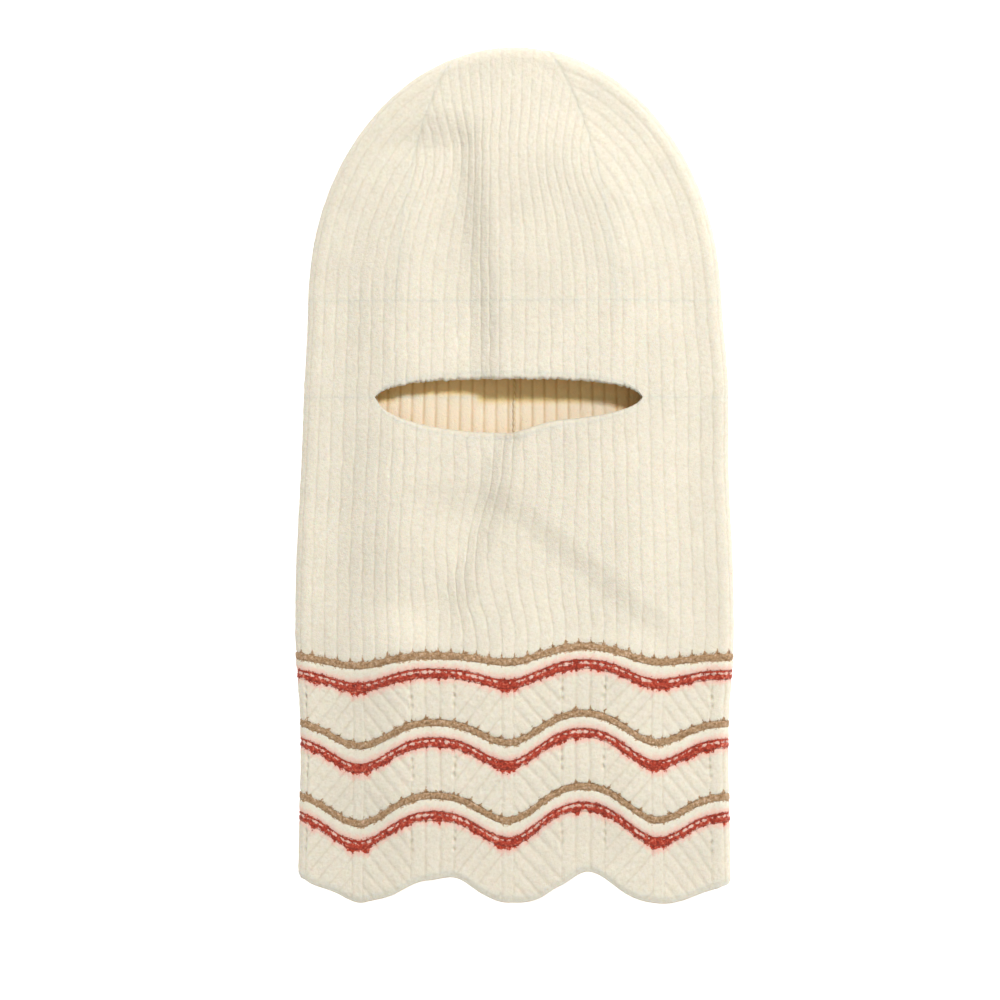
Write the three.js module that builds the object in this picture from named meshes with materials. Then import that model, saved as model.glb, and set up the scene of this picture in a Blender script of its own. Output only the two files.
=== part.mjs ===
// A rib-knit wool balaclava, lying flat on its back with its face up. Millimetres.
// X runs across it, +Y points from the scalloped neck hem to the crown, +Z points up out of the
// face. The origin is under the middle of it, on the surface that it lies on.
// It is one flattened tube of knitting with a closed crown, an eye slit in its front layer and a
// linking seam down the middle of its back layer. Each knitted section is its own piece.
import * as THREE from "three";

// ---- Driving sizes ----
const LENGTH = 420.5; // lowest point of the hem to the top of the crown
const WALL = 4; // one layer of brushed rib knit
const EDGE_RADIUS = 6.5; // outside radius of the fold down each side
const HOOD_LOFT = 20; // height of the upper layer over the middle of the hood
const HEM_LOFT = 17; // the same at the hem
const LOFT_REACH = 55; // how far in from the outline the upper layer reaches its full height
const CLEARANCE = 0.3; // between two pieces that touch

// Half widths of the flattened tube, from the crown's base down to the hem
const CROWN_HALF_WIDTH = 101.7;
const JAW_HALF_WIDTH = 108.3;
const STRIPE_HALF_WIDTH = 105.6;
const HEM_HALF_WIDTH = 107;

// Heights of those widths along Y
const CROWN_HEIGHT = 125.2; // crown's base to its top
const JAW_Y = -72;
const STRIPE_Y = -128;

// Eye slit
const SLIT_WIDTH = 128.6;
const SLIT_X = -2.9; // middle of the slit
const SLIT_Y = 37.7; // level of its two corners
const SLIT_RISE = 8.8; // upper edge above the corners
const SLIT_DROP_LEFT = 17.6; // lower edge below the corners, left of the middle crease
const SLIT_DROP_RIGHT = 12.2; // the same right of it, where the crease holds it up
const SLIT_CREASE = [0, 0.4]; // where one gives way to the other, as shares of the half slit
const SLIT_EDGE = 3.2; // height of the cast-on and bind-off edges
const SLIT_EDGE_TIP = 0.6; // the same at the corners

// Crown gores: the lines where stitches are worked together. They run from the crown's base, over
// the top edge, to the drawn-up tip, which lies just round on the back layer.
const GORE_LEFT_X = -58;
const GORE_RIGHT_X = 50;
const GORE_LEFT_BEND = [-54, 108]; // where each line bends in, above the crown's base
const GORE_RIGHT_BEND = [42, 108];
const TIP_X = -4.5;
const TIP_SIZE = 9;
const TIP_PAST_EDGE = 21; // round the fold, from the top of the outline to the middle of the tip

// Scallops and stripes: six waves all the way round. Each line has a level and a wave height.
const SCALLOPS = 6;
const SCALLOP_X = -3.2; // a trough of the scallops on the front
const CREST_FLATNESS = 0.12; // how much broader the crests are than the troughs
const BACK_EASE = 60; // past each side fold, where the waves shift to lie under the front's
const TAN_HEIGHT = 4.2;
const RED_HEIGHT = 6;
const HEM_EDGE_HEIGHT = 3.2;
const HEM_WAVE = 14.2;
const STRIPES = [
  { tanY: -89, tanWave: 6, redY: -99.3, redWave: 8 },
  { tanY: -125, tanWave: 12.6, redY: -136, redWave: 14 },
  { tanY: -162, tanWave: 15, redY: -173.1, redWave: 15.6 },
];

// Linking seam on the inside of the back layer
const SEAM_WIDTH = 3;
const SEAM_HEIGHT = 1;

// Facets
const SLIT_STEPS = 20;
const SIDE_STEPS = 4; // between a slit corner and the side fold
const FOLD_STEPS = 4;
const BACK_STEPS = 12; // from the side fold to the seam
const SEAM_STEPS = 16;
const GORE_COLUMNS = 18; // of a side gore
const FRONT_COLUMNS = 9;
const BACK_COLUMNS = 5;
const GORE_ROWS = 8; // up to the last stretch before the tip
const GORE_TIP_ROWS = 8;
const GORE_TIP_SHARE = 0.68; // of a gore line, where its last stretch starts

// ---- Worked out from them ----
const TOP_Y = LENGTH / 2;
const HEM_Y = -LENGTH / 2 + HEM_WAVE / 2; // mean level of the hem
const CROWN_Y = TOP_Y - CROWN_HEIGHT;
const FOLD_LENGTH = Math.PI * EDGE_RADIUS;
const HALF_GAP = CLEARANCE / 2;

const COLOURS = { cream: 0xeee4d0, roll: 0xf1e8d6, tan: 0xb3916e, red: 0xb04a34, edge: 0xebdfc8 };
const knit = (colour) =>
  new THREE.MeshStandardMaterial({ color: COLOURS[colour], roughness: 0.95, metalness: 0 });

const smooth = (t) => {
  const k = THREE.MathUtils.clamp(t, 0, 1);
  return k * k * (3 - 2 * k);
};
const lerp = THREE.MathUtils.lerp;

// ---- The garment's surface ----

// Half width of the flattened tube at a height y, eased between its named widths.
function halfWidth(y) {
  const widths = [
    [-TOP_Y, HEM_HALF_WIDTH],
    [STRIPE_Y, STRIPE_HALF_WIDTH],
    [JAW_Y, JAW_HALF_WIDTH],
    [CROWN_Y, CROWN_HALF_WIDTH],
  ];
  const above = widths.findIndex(([level]) => level >= y);
  if (above === 0) return HEM_HALF_WIDTH;
  if (above < 0) return CROWN_HALF_WIDTH;
  const [y0, w0] = widths[above - 1];
  const [y1, w1] = widths[above];
  return lerp(w0, w1, smooth((y - y0) / (y1 - y0)));
}

// Height of the upper layer at a distance in from the outline.
function loft(inset, y) {
  const full = lerp(HEM_LOFT, HOOD_LOFT, smooth((y + TOP_Y) / (JAW_Y + TOP_Y)));
  const share = smooth((inset - EDGE_RADIUS) / (LOFT_REACH - EDGE_RADIUS));
  return lerp(2 * EDGE_RADIUS, full, share);
}

// A point of the section across the outline: around is the way round the fold from the middle of
// the edge, positive on the upper layer; depth is the way in from the outer face.
function section(around, depth, y) {
  if (Math.abs(around) <= FOLD_LENGTH / 2) {
    const turn = around / EDGE_RADIUS;
    const radius = EDGE_RADIUS - depth;
    return {
      inset: EDGE_RADIUS - radius * Math.cos(turn),
      z: EDGE_RADIUS + radius * Math.sin(turn),
    };
  }
  const inset = EDGE_RADIUS + Math.abs(around) - FOLD_LENGTH / 2;
  return { inset, z: around < 0 ? depth : loft(inset, y) - depth };
}

// A point of the tube. turn goes round it: -3 and 3 are the seam, -2 to -1 the left fold, -1 to 1
// the front, 1 to 2 the right fold.
function tubePoint(turn, y, depth) {
  const side = Math.sign(turn) || 1;
  const t = Math.abs(turn);
  const flat = halfWidth(y) - EDGE_RADIUS;
  let around;
  if (t <= 1) around = FOLD_LENGTH / 2 + flat * (1 - t);
  else if (t <= 2) around = FOLD_LENGTH * (1.5 - t);
  else around = -FOLD_LENGTH / 2 - flat * (t - 2);
  const { inset, z } = section(around, depth, y);
  return new THREE.Vector3(side * (halfWidth(y) - inset), y, z);
}

// Distance round the stripes' level from the middle of the front, for the scallops.
function distanceRound(turn) {
  const t = Math.abs(turn);
  const flat = STRIPE_HALF_WIDTH - EDGE_RADIUS;
  const overFold = FOLD_LENGTH * THREE.MathUtils.clamp(t - 1, 0, 1);
  return Math.sign(turn) * (flat * (Math.min(t, 1) + Math.max(t - 2, 0)) + overFold);
}

// A point of the crown: angle round its half ellipse, and the way round its edge fold.
function crownPoint(angle, around, depth) {
  const edge = new THREE.Vector2(
    CROWN_HALF_WIDTH * Math.cos(angle),
    CROWN_HEIGHT * Math.sin(angle),
  );
  const { inset, z } = section(around, depth, CROWN_Y);
  const at = edge.multiplyScalar(1 - inset / edge.length());
  return new THREE.Vector3(at.x, CROWN_Y + at.y, z);
}

// The crown angle and the way round its edge fold of a flat point (x, y above the crown's base).
function crownPlace(flat, layer) {
  const x = flat.x / CROWN_HALF_WIDTH;
  const y = flat.y / CROWN_HEIGHT;
  const angle = Math.atan2(y, x);
  const reach = Math.hypot(CROWN_HALF_WIDTH * Math.cos(angle), CROWN_HEIGHT * Math.sin(angle));
  const inset = (1 - Math.hypot(x, y)) * reach;
  return { angle, around: layer * (FOLD_LENGTH / 2 + inset - EDGE_RADIUS) };
}

// The flat point of a place on the crown, on one layer's pattern.
function crownFlat(angle, around, layer) {
  const x = CROWN_HALF_WIDTH * Math.cos(angle);
  const y = CROWN_HEIGHT * Math.sin(angle);
  const inset = layer * around - FOLD_LENGTH / 2 + EDGE_RADIUS;
  return new THREE.Vector2(x, y).multiplyScalar(1 - inset / Math.hypot(x, y));
}

// ---- Solids ----

// One closed block: shape(u, v, w) places its corner grid, with u to the right and v upwards as
// seen from outside, w 0 on the outer face and 1 on the inner one.
function block(name, colour, us, vs, shape) {
  const columns = us.length;
  const lines = vs.length;
  const rows = lines - 1;
  const points = [];
  for (const w of [0, 1])
    for (const v of vs) for (const u of us) points.push(...shape(u, v, w).toArray());
  const at = (i, j, w) => (w * lines + j) * columns + i;
  const faces = [];
  const quad = (a, b, c, d) => faces.push(a, b, c, a, c, d);
  for (let j = 0; j < rows; j++)
    for (let i = 0; i < columns - 1; i++) {
      quad(at(i, j, 0), at(i + 1, j, 0), at(i + 1, j + 1, 0), at(i, j + 1, 0));
      quad(at(i, j, 1), at(i, j + 1, 1), at(i + 1, j + 1, 1), at(i + 1, j, 1));
    }
  for (let i = 0; i < columns - 1; i++) {
    quad(at(i, 0, 0), at(i, 0, 1), at(i + 1, 0, 1), at(i + 1, 0, 0));
    quad(at(i, rows, 0), at(i + 1, rows, 0), at(i + 1, rows, 1), at(i, rows, 1));
  }
  for (let j = 0; j < rows; j++) {
    quad(at(0, j, 0), at(0, j + 1, 0), at(0, j + 1, 1), at(0, j, 1));
    const last = columns - 1;
    quad(at(last, j, 0), at(last, j, 1), at(last, j + 1, 1), at(last, j + 1, 0));
  }
  const geometry = new THREE.BufferGeometry();
  geometry.setAttribute("position", new THREE.Float32BufferAttribute(points, 3));
  geometry.setIndex(faces);
  geometry.computeVertexNormals();
  const mesh = new THREE.Mesh(geometry, knit(colour));
  mesh.name = name;
  return mesh;
}

const steps = (from, to, count) =>
  Array.from({ length: count }, (_, i) => lerp(from, to, (i + 1) / count));
const spread = (from, to, count) => [from, ...steps(from, to, count)];

// The slit's place across the front at its corner level, as turns, and a turn as a share of it.
const slitFlat = halfWidth(SLIT_Y) - EDGE_RADIUS;
const slitTurn = (share) => (SLIT_X + (share * SLIT_WIDTH) / 2) / slitFlat;
const slitShare = (turn) => (2 * (turn * slitFlat - SLIT_X)) / SLIT_WIDTH;
const slitTurns = Array.from({ length: SLIT_STEPS + 1 }, (_, i) =>
  slitTurn(Math.sin(Math.PI * (i / SLIT_STEPS - 0.5))),
);

// Every band is cut at the same turns, so that neighbours' facets line up.
const seamTurn = 3 - HALF_GAP / (STRIPE_HALF_WIDTH - EDGE_RADIUS);
const BAND_TURNS = [
  -seamTurn,
  ...steps(-seamTurn, -2, BACK_STEPS),
  ...steps(-2, -1, FOLD_STEPS),
  ...steps(-1, slitTurns[0], SIDE_STEPS),
  ...slitTurns.slice(1),
  ...steps(slitTurns[SLIT_STEPS], 1, SIDE_STEPS),
  ...steps(1, 2, FOLD_STEPS),
  ...steps(2, seamTurn, BACK_STEPS),
];

// A band of the tube between two lines, each a height for a turn.
function band(name, colour, rows, lower, upper) {
  return block(name, colour, BAND_TURNS, spread(0, 1, rows), (turn, v, w) =>
    tubePoint(turn, lerp(lower(turn), upper(turn), v), w * WALL),
  );
}

// A line that waves with the scallops: lowest in each trough.
const waveLine = (level, height) => (turn) => {
  const along = distanceRound(turn);
  const shift = 2 * SCALLOP_X * smooth((Math.abs(along) - distanceRound(1)) / BACK_EASE);
  const way = (Math.PI * SCALLOPS * (along + shift - SCALLOP_X)) / distanceRound(3);
  const sharpen = CREST_FLATNESS * (1 - Math.cos(2 * way));
  return level + (height / 2) * (sharpen - Math.cos(way));
};
const raised = (line, by) => (turn) => line(turn) + by;

// ---- Crown ----

// A gore line from the crown's base to the tip, moved sideways by half a gap. It lies on the
// layer's flat pattern, where the edge fold is unrolled past the outline.
function goreLine(baseX, bend, tip, aside) {
  const curve = new THREE.QuadraticBezierCurve(
    new THREE.Vector2(baseX, HALF_GAP),
    new THREE.Vector2(...bend),
    tip,
  );
  return (v) => {
    const along = curve.getTangent(v);
    return curve.getPoint(v).add(new THREE.Vector2(along.y, -along.x).multiplyScalar(aside));
  };
}

// The tip: its inset on the back layer, its two sides and its two ends round the fold.
const tipInset = TIP_PAST_EDGE - FOLD_LENGTH + 2 * EDGE_RADIUS;
const tipAngle = (x) => Math.acos(x / (CROWN_HALF_WIDTH * (1 - tipInset / CROWN_HEIGHT)));
const tipAround = (past) => FOLD_LENGTH / 2 - EDGE_RADIUS - past;
const tip = {
  left: tipAngle(TIP_X - TIP_SIZE / 2),
  middle: tipAngle(TIP_X),
  right: tipAngle(TIP_X + TIP_SIZE / 2),
  start: tipAround(TIP_PAST_EDGE - TIP_SIZE / 2),
  end: tipAround(TIP_PAST_EDGE + TIP_SIZE / 2),
};
const tipCorner = (angle, layer) => crownFlat(angle, layer > 0 ? tip.start : tip.end, layer);
const leftLine = (layer, aside) =>
  goreLine(GORE_LEFT_X, GORE_LEFT_BEND, tipCorner(tip.left, layer), aside);
const rightLine = (layer, aside) =>
  goreLine(GORE_RIGHT_X, GORE_RIGHT_BEND, tipCorner(tip.right, layer), aside);
const seamLine = (aside) =>
  goreLine(0, [0, CROWN_HEIGHT / 2], tipCorner(tip.middle, -1), aside);
const GORE_VS = [
  ...spread(0, GORE_TIP_SHARE, GORE_ROWS),
  ...steps(GORE_TIP_SHARE, 1, GORE_TIP_ROWS),
];

// A gore that wraps over the side: -1 is the left one, 1 the right one.
function sideGore(name, side) {
  const line = side < 0 ? leftLine : rightLine;
  const upper = line(1, side * HALF_GAP);
  const lower = line(-1, side * HALF_GAP);
  return block(name, "cream", spread(0, 1, GORE_COLUMNS), GORE_VS, (u, v, w) => {
    const from = crownPlace(side < 0 ? lower(v) : upper(v), side);
    const to = crownPlace(side < 0 ? upper(v) : lower(v), -side);
    return crownPoint(lerp(from.angle, to.angle, u), lerp(from.around, to.around, u), w * WALL);
  });
}

// A gore between two lines on one layer: 1 is the upper one, -1 the lower one.
function middleGore(name, layer, from, to, columns) {
  return block(name, "cream", spread(0, 1, columns), GORE_VS, (u, v, w) => {
    const flat = from(v).lerp(to(v), u);
    const { angle, around } = crownPlace(flat, layer);
    return crownPoint(angle, around, w * WALL);
  });
}

// The last stitches, drawn together just behind the top edge.
function crownTip() {
  const turnGap = CLEARANCE / (CROWN_HEIGHT - tipInset);
  return block("crown_gathered_tip", "cream", spread(0, 1, 4), spread(0, 1, 4), (u, v, w) => {
    const angle = lerp(tip.left - turnGap, tip.right + turnGap, u);
    return crownPoint(angle, lerp(tip.start - CLEARANCE, tip.end + CLEARANCE, v), w * WALL);
  });
}

function crown() {
  return [
    middleGore("crown_gore_front", 1, leftLine(1, HALF_GAP), rightLine(1, -HALF_GAP), FRONT_COLUMNS),
    sideGore("crown_gore_left", -1),
    sideGore("crown_gore_right", 1),
    middleGore("crown_gore_back_left", -1, seamLine(-HALF_GAP), leftLine(-1, HALF_GAP), BACK_COLUMNS),
    middleGore("crown_gore_back_right", -1, rightLine(-1, -HALF_GAP), seamLine(HALF_GAP), BACK_COLUMNS),
    crownTip(),
  ];
}

// ---- Eye slit ----

const ROUNDING = 1e-9;
const insideSlit = (turn) => Math.abs(slitShare(turn)) <= 1 + ROUNDING;
const slitUpper = (turn) => {
  const share = Math.min(1, Math.abs(slitShare(turn)));
  return SLIT_Y + HALF_GAP + SLIT_RISE * Math.sqrt(1 - share ** 3);
};
const slitLower = (turn) => {
  const share = THREE.MathUtils.clamp(slitShare(turn), -1, 1);
  const [from, to] = SLIT_CREASE;
  const drop = lerp(SLIT_DROP_LEFT, SLIT_DROP_RIGHT, smooth((share - from) / (to - from)));
  return SLIT_Y - HALF_GAP - drop * Math.sqrt(1 - share ** 2);
};
const slitEdge = (turn) =>
  lerp(SLIT_EDGE_TIP, SLIT_EDGE, Math.sqrt(Math.max(0, 1 - slitShare(turn) ** 2)));

function slitEdges() {
  const edge = (name, low, high) =>
    block(name, "edge", slitTurns, [0, 1], (turn, v, w) =>
      tubePoint(turn, lerp(low(turn), high(turn), v), w * WALL),
    );
  return [
    edge("slit_upper_edge", slitUpper, (turn) => slitUpper(turn) + slitEdge(turn)),
    edge("slit_lower_edge", (turn) => slitLower(turn) - slitEdge(turn), slitLower),
  ];
}

// ---- Bands ----

const browLower = (turn) =>
  insideSlit(turn) ? slitUpper(turn) + slitEdge(turn) + CLEARANCE : SLIT_Y + HALF_GAP;
const faceUpper = (turn) =>
  insideSlit(turn) ? slitLower(turn) - slitEdge(turn) - CLEARANCE : SLIT_Y - HALF_GAP;

// The upper and lower lines of one set of stripes.
function stripeLines({ tanY, tanWave, redY, redWave }) {
  return {
    tanTop: waveLine(tanY + TAN_HEIGHT / 2, tanWave),
    tanBottom: waveLine(tanY - TAN_HEIGHT / 2, tanWave),
    redTop: waveLine(redY + RED_HEIGHT / 2, redWave),
    redBottom: waveLine(redY - RED_HEIGHT / 2, redWave),
  };
}

function bands() {
  const sets = STRIPES.map(stripeLines);
  const hem = waveLine(HEM_Y, HEM_WAVE);
  const made = [
    band("brow_rib", "cream", 3, browLower, () => CROWN_Y - HALF_GAP),
    band("face_rib", "cream", 5, raised(sets[0].tanTop, CLEARANCE), faceUpper),
  ];
  sets.forEach((set, i) => {
    const n = i + 1;
    const below = i < sets.length - 1 ? sets[n].tanTop : raised(hem, HEM_EDGE_HEIGHT);
    made.push(
      band(`tan_ridge_${n}`, "tan", 1, set.tanBottom, set.tanTop),
      band(
        `cream_roll_${n}`,
        "roll",
        1,
        raised(set.redTop, CLEARANCE),
        raised(set.tanBottom, -CLEARANCE),
      ),
      band(`red_rows_${n}`, "red", 1, set.redBottom, set.redTop),
      band(
        `fan_band_${n}`,
        "cream",
        2,
        raised(below, CLEARANCE),
        raised(set.redBottom, -CLEARANCE),
      ),
    );
  });
  made.push(band("hem_cast_on_edge", "edge", 1, hem, raised(hem, HEM_EDGE_HEIGHT)));
  return made;
}

// ---- Linking seam, inside the back layer ----

function seam() {
  const low = HEM_Y - HEM_WAVE / 2 + HEM_EDGE_HEIGHT;
  const reach = CROWN_HEIGHT - tipInset - 2 * TIP_SIZE;
  const high = CROWN_Y + reach;
  const crownPart = seamLine(0);
  const middle = (y) => (y <= CROWN_Y ? 0 : crownPart((y - CROWN_Y) / reach).x);
  const base = WALL + CLEARANCE;
  return block("centre_back_seam", "edge", [-0.5, 0.5], spread(0, 1, SEAM_STEPS), (u, v, w) => {
    const y = lerp(low, high, v);
    return new THREE.Vector3(middle(y) + u * SEAM_WIDTH, y, base + (1 - w) * SEAM_HEIGHT);
  });
}

const balaclava = new THREE.Group();
balaclava.name = "balaclava";
balaclava.add(...crown(), ...slitEdges(), ...bands(), seam());

export default balaclava;
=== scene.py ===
"""Looks of a rib-knit wool balaclava that lies flat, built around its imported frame.

Sizes are in millimetres inside the classes and in metres on the meshes. X runs across the mask, +Y
points to the crown and +Z out of the face. The knitting is one flattened tube with a closed crown.
Each knitted section is a closed shell that rides on the part's single body.
"""

import logging
import math
from dataclasses import dataclass, field
from enum import Enum, IntEnum
from typing import Callable, Optional, Sequence, Union

import bpy
import numpy as np
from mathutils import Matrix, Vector


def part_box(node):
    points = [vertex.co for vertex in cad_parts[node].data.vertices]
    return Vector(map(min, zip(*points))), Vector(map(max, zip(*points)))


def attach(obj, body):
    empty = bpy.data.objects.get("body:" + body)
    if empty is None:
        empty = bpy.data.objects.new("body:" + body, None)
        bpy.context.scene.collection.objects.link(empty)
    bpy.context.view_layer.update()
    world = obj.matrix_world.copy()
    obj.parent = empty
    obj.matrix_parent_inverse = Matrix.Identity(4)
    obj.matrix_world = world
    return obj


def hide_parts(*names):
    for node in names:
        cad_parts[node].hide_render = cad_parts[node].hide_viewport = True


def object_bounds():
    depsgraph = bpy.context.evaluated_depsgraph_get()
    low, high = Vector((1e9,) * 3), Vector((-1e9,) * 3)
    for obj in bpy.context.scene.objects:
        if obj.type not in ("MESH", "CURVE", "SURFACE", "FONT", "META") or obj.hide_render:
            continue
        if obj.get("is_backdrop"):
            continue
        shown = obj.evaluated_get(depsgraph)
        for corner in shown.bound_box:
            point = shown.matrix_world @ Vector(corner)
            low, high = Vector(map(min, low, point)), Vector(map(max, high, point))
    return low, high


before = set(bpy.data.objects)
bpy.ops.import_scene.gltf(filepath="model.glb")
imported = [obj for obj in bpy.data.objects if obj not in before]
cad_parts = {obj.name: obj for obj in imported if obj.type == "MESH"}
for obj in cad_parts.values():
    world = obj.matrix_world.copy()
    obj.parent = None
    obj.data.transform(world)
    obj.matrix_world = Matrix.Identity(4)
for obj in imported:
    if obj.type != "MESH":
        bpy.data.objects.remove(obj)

LOG = logging.getLogger("balaclava")
MM = 0.001
BODY = "root"
BAKE_MAP = "OFBake"
FAR = 20.0  # millimetres: further than any dyed border reaches

Array = np.ndarray
Line = Callable[[Array], Array]
Field = Callable[[Array, Array], Array]
Stops = tuple[tuple[float, float], ...]
Colour = tuple[float, float, float, float]
Socket = bpy.types.NodeSocket
Value = Union[float, Colour, Socket]


class Seed(IntEnum):
    """Pattern numbers of the noises. A set of stripes adds its own number to some of them."""

    WOBBLE = 3
    WOBBLE_FINE = 4
    DRAPE = 5
    WOBBLE_STITCH = 6
    UNEVEN = 8
    PATCH = 9
    FLUFF = 12
    FLUFF_FINE = 13
    BLOT = 14
    FAN_BEND = 21
    RAGGED = 40
    CLUMPS = 44
    TAN_NUBS = 50
    ROLL = 61
    ROLL_EDGE = 66
    CHAIN = 70
    LOOPS = 74
    RED_NUBS = 78
    TUFT = 90
    TUFT_BROAD = 91


class Layer(Enum):
    """The two layers of the flattened tube."""

    UPPER = 1
    LOWER = -1


class Side(Enum):
    """The two side folds."""

    LEFT = -1
    RIGHT = 1


def smooth(t: Array) -> Array:
    """Eases 0 to 1 with level ends."""
    k = np.clip(t, 0.0, 1.0)
    return k * k * (3.0 - 2.0 * k)


def mix(a: Array, b: Array, t: Array) -> Array:
    """Straight mix of a and b."""
    return a + (b - a) * t


def eased(x: Array, stops: Stops) -> Array:
    """Values between named stops (place, value), level at each stop."""
    out = np.full_like(x, stops[0][1])
    for (x0, v0), (x1, v1) in zip(stops, stops[1:]):
        out = np.where(x >= x0, mix(v0, v1, smooth((x - x0) / (x1 - x0))), out)
    return out


def lattice_noise(x: Array, y: Array, size: float, seed: int) -> Array:
    """Smooth noise from -1 to 1 with bumps of one size.

    Args:
        x: first coordinate.
        y: second coordinate.
        size: width of a bump, in the coordinates' own unit.
        seed: picks the pattern.

    Returns:
        The noise at every point.
    """
    cells = 64
    table = np.random.default_rng(seed).uniform(-1.0, 1.0, (cells, cells))
    gx, gy = x / size, y / size
    ix, iy = np.floor(gx).astype(int), np.floor(gy).astype(int)
    fx, fy = smooth(gx - ix), smooth(gy - iy)

    def at(i: int, j: int) -> Array:
        """The table's values at one corner of each point's cell."""
        return table[(ix + i) % cells, (iy + j) % cells]

    return mix(mix(at(0, 0), at(1, 0), fx), mix(at(0, 1), at(1, 1), fx), fy)


def undyed(like: Array) -> Array:
    """Distance to a dyed border where none is near."""
    return np.full(like.shape, FAR)


def wrapped(outer: Array, inner: Array) -> Array:
    """Joins the grids of two faces into one that goes round the section."""
    return np.concatenate([outer, inner[::-1]])


def linked(name: str, data: bpy.types.ID) -> bpy.types.Object:
    """A new object in the scene."""
    made = bpy.data.objects.new(name, data)
    bpy.context.scene.collection.objects.link(made)
    return made


# ---- The garment's surface ----


@dataclass(frozen=True)
class Garment:
    """Sizes of the flattened tube of knitting and the maps of its surface."""

    top_y: float
    wall: float = 4.0
    edge_radius: float = 6.5
    hood_loft: float = 20.0
    hem_loft: float = 17.0
    loft_reach: float = 55.0
    crown_half_width: float = 101.7
    jaw_half_width: float = 108.3
    stripe_half_width: float = 105.6
    hem_half_width: float = 107.0
    crown_height: float = 125.2
    jaw_y: float = -72.0
    stripe_y: float = -128.0
    scallops: int = 6
    scallop_x: float = -3.2
    crest_flatness: float = 0.12
    back_ease: float = 60.0

    @property
    def crown_y(self) -> float:
        """Level of the crown's base."""
        return self.top_y - self.crown_height

    @property
    def fold_length(self) -> float:
        """Way round a side fold, along its outer face."""
        return math.pi * self.edge_radius

    @property
    def flat(self) -> float:
        """Flat half width at the stripes, between the middle and a side fold."""
        return self.stripe_half_width - self.edge_radius

    @property
    def round_length(self) -> float:
        """Length once round the tube at the stripes."""
        return 4.0 * self.flat + 2.0 * self.fold_length

    @property
    def scallop_length(self) -> float:
        """Length of one scallop along the tube."""
        return self.round_length / self.scallops

    def half_width(self, y: Array) -> Array:
        """Half width of the tube at a height, eased between its named widths."""
        widths = (
            (-self.top_y, self.hem_half_width),
            (self.stripe_y, self.stripe_half_width),
            (self.jaw_y, self.jaw_half_width),
            (self.crown_y, self.crown_half_width),
        )
        return eased(y, widths)

    def loft(self, inset: Array, y: Array) -> Array:
        """Height of the upper layer at a distance in from the outline."""
        full = mix(
            self.hem_loft,
            self.hood_loft,
            smooth((y + self.top_y) / (self.jaw_y + self.top_y)),
        )
        share = smooth((inset - self.edge_radius) / (self.loft_reach - self.edge_radius))
        return mix(2.0 * self.edge_radius, full, share)

    def section(self, around: Array, depth: Array, y: Array) -> tuple[Array, Array]:
        """A point of the section across the outline.

        Args:
            around: way round the fold from the middle of the edge, positive on the upper layer.
            depth: way in from the outer face.
            y: height of the section.

        Returns:
            The inset from the outline and the height above the floor.
        """
        half_fold = self.fold_length / 2.0
        turn = np.clip(around, -half_fold, half_fold) / self.edge_radius
        radius = self.edge_radius - depth
        past = np.maximum(np.abs(around) - half_fold, 0.0)
        rise = self.loft(self.edge_radius + past, y) - 2.0 * self.edge_radius
        z = self.edge_radius + radius * np.sin(turn) + np.where(around > 0.0, rise, 0.0)
        return self.edge_radius - radius * np.cos(turn) + past, z

    def tube(self, way: Array, y: Array, depth: Array) -> Array:
        """A point of the tube.

        Args:
            way: distance round from the middle of the front, measured at the stripes.
            y: height.
            depth: way in from the outer face.

        Returns:
            Points, with their coordinates on the last axis.
        """
        far = np.abs(way)
        half = self.half_width(y)
        stretch = (half - self.edge_radius) / self.flat
        half_fold = self.fold_length / 2.0
        around = np.where(
            far <= self.flat,
            half_fold + stretch * (self.flat - far),
            half_fold - (far - self.flat),
        )
        past = far - self.flat - self.fold_length
        around = np.where(past > 0.0, -half_fold - stretch * past, around)
        inset, z = self.section(around, depth, y)
        return np.stack([np.sign(way) * (half - inset), y, z], axis=-1)

    def crown(self, angle: Array, around: Array, depth: Array) -> Array:
        """A point of the crown: angle round its half ellipse and the way round its edge fold."""
        x = self.crown_half_width * np.cos(angle)
        y = self.crown_height * np.sin(angle)
        inset, z = self.section(around, depth, np.full_like(angle, self.crown_y))
        keep = 1.0 - inset / np.hypot(x, y)
        return np.stack([x * keep, self.crown_y + y * keep, z], axis=-1)

    def crown_place(self, flat: Array, layer: Layer) -> tuple[Array, Array]:
        """Crown angle and way round the fold of points on one layer's flat pattern."""
        x = flat[..., 0] / self.crown_half_width
        y = flat[..., 1] / self.crown_height
        angle = np.arctan2(y, x)
        reach = np.hypot(
            self.crown_half_width * np.cos(angle), self.crown_height * np.sin(angle)
        )
        inset = (1.0 - np.hypot(x, y)) * reach
        past = self.fold_length / 2.0 + inset - self.edge_radius
        return angle, layer.value * past

    def crown_flat(self, angle: Array, around: Array, layer: Layer) -> Array:
        """Flat pattern point of a place on the crown."""
        x = self.crown_half_width * np.cos(angle)
        y = self.crown_height * np.sin(angle)
        inset = layer.value * around - self.fold_length / 2.0 + self.edge_radius
        keep = 1.0 - inset / np.hypot(x, y)
        return np.stack([x * keep, y * keep], axis=-1)

    def wave(self, level: float, height: float) -> Line:
        """A line that waves with the scallops, lowest in each trough."""

        def line(way: Array) -> Array:
            """Height of the line at a distance round the tube."""
            swing = 2.0 * math.pi * self.scallop_place(way) / self.scallop_length
            sharpen = self.crest_flatness * (1.0 - np.cos(2.0 * swing))
            return level + (height / 2.0) * (sharpen - np.cos(swing))

        return line

    def scallop_place(self, way: Array) -> Array:
        """Distance from the front's middle trough, shifted on the back to lie under the front."""
        shift = 2.0 * self.scallop_x * smooth((np.abs(way) - self.flat) / self.back_ease)
        return way + shift - self.scallop_x

    def from_trough(self, way: Array) -> Array:
        """Signed distance to the nearest scallop trough."""
        length = self.scallop_length
        return (self.scallop_place(way) + length / 2.0) % length - length / 2.0

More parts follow.
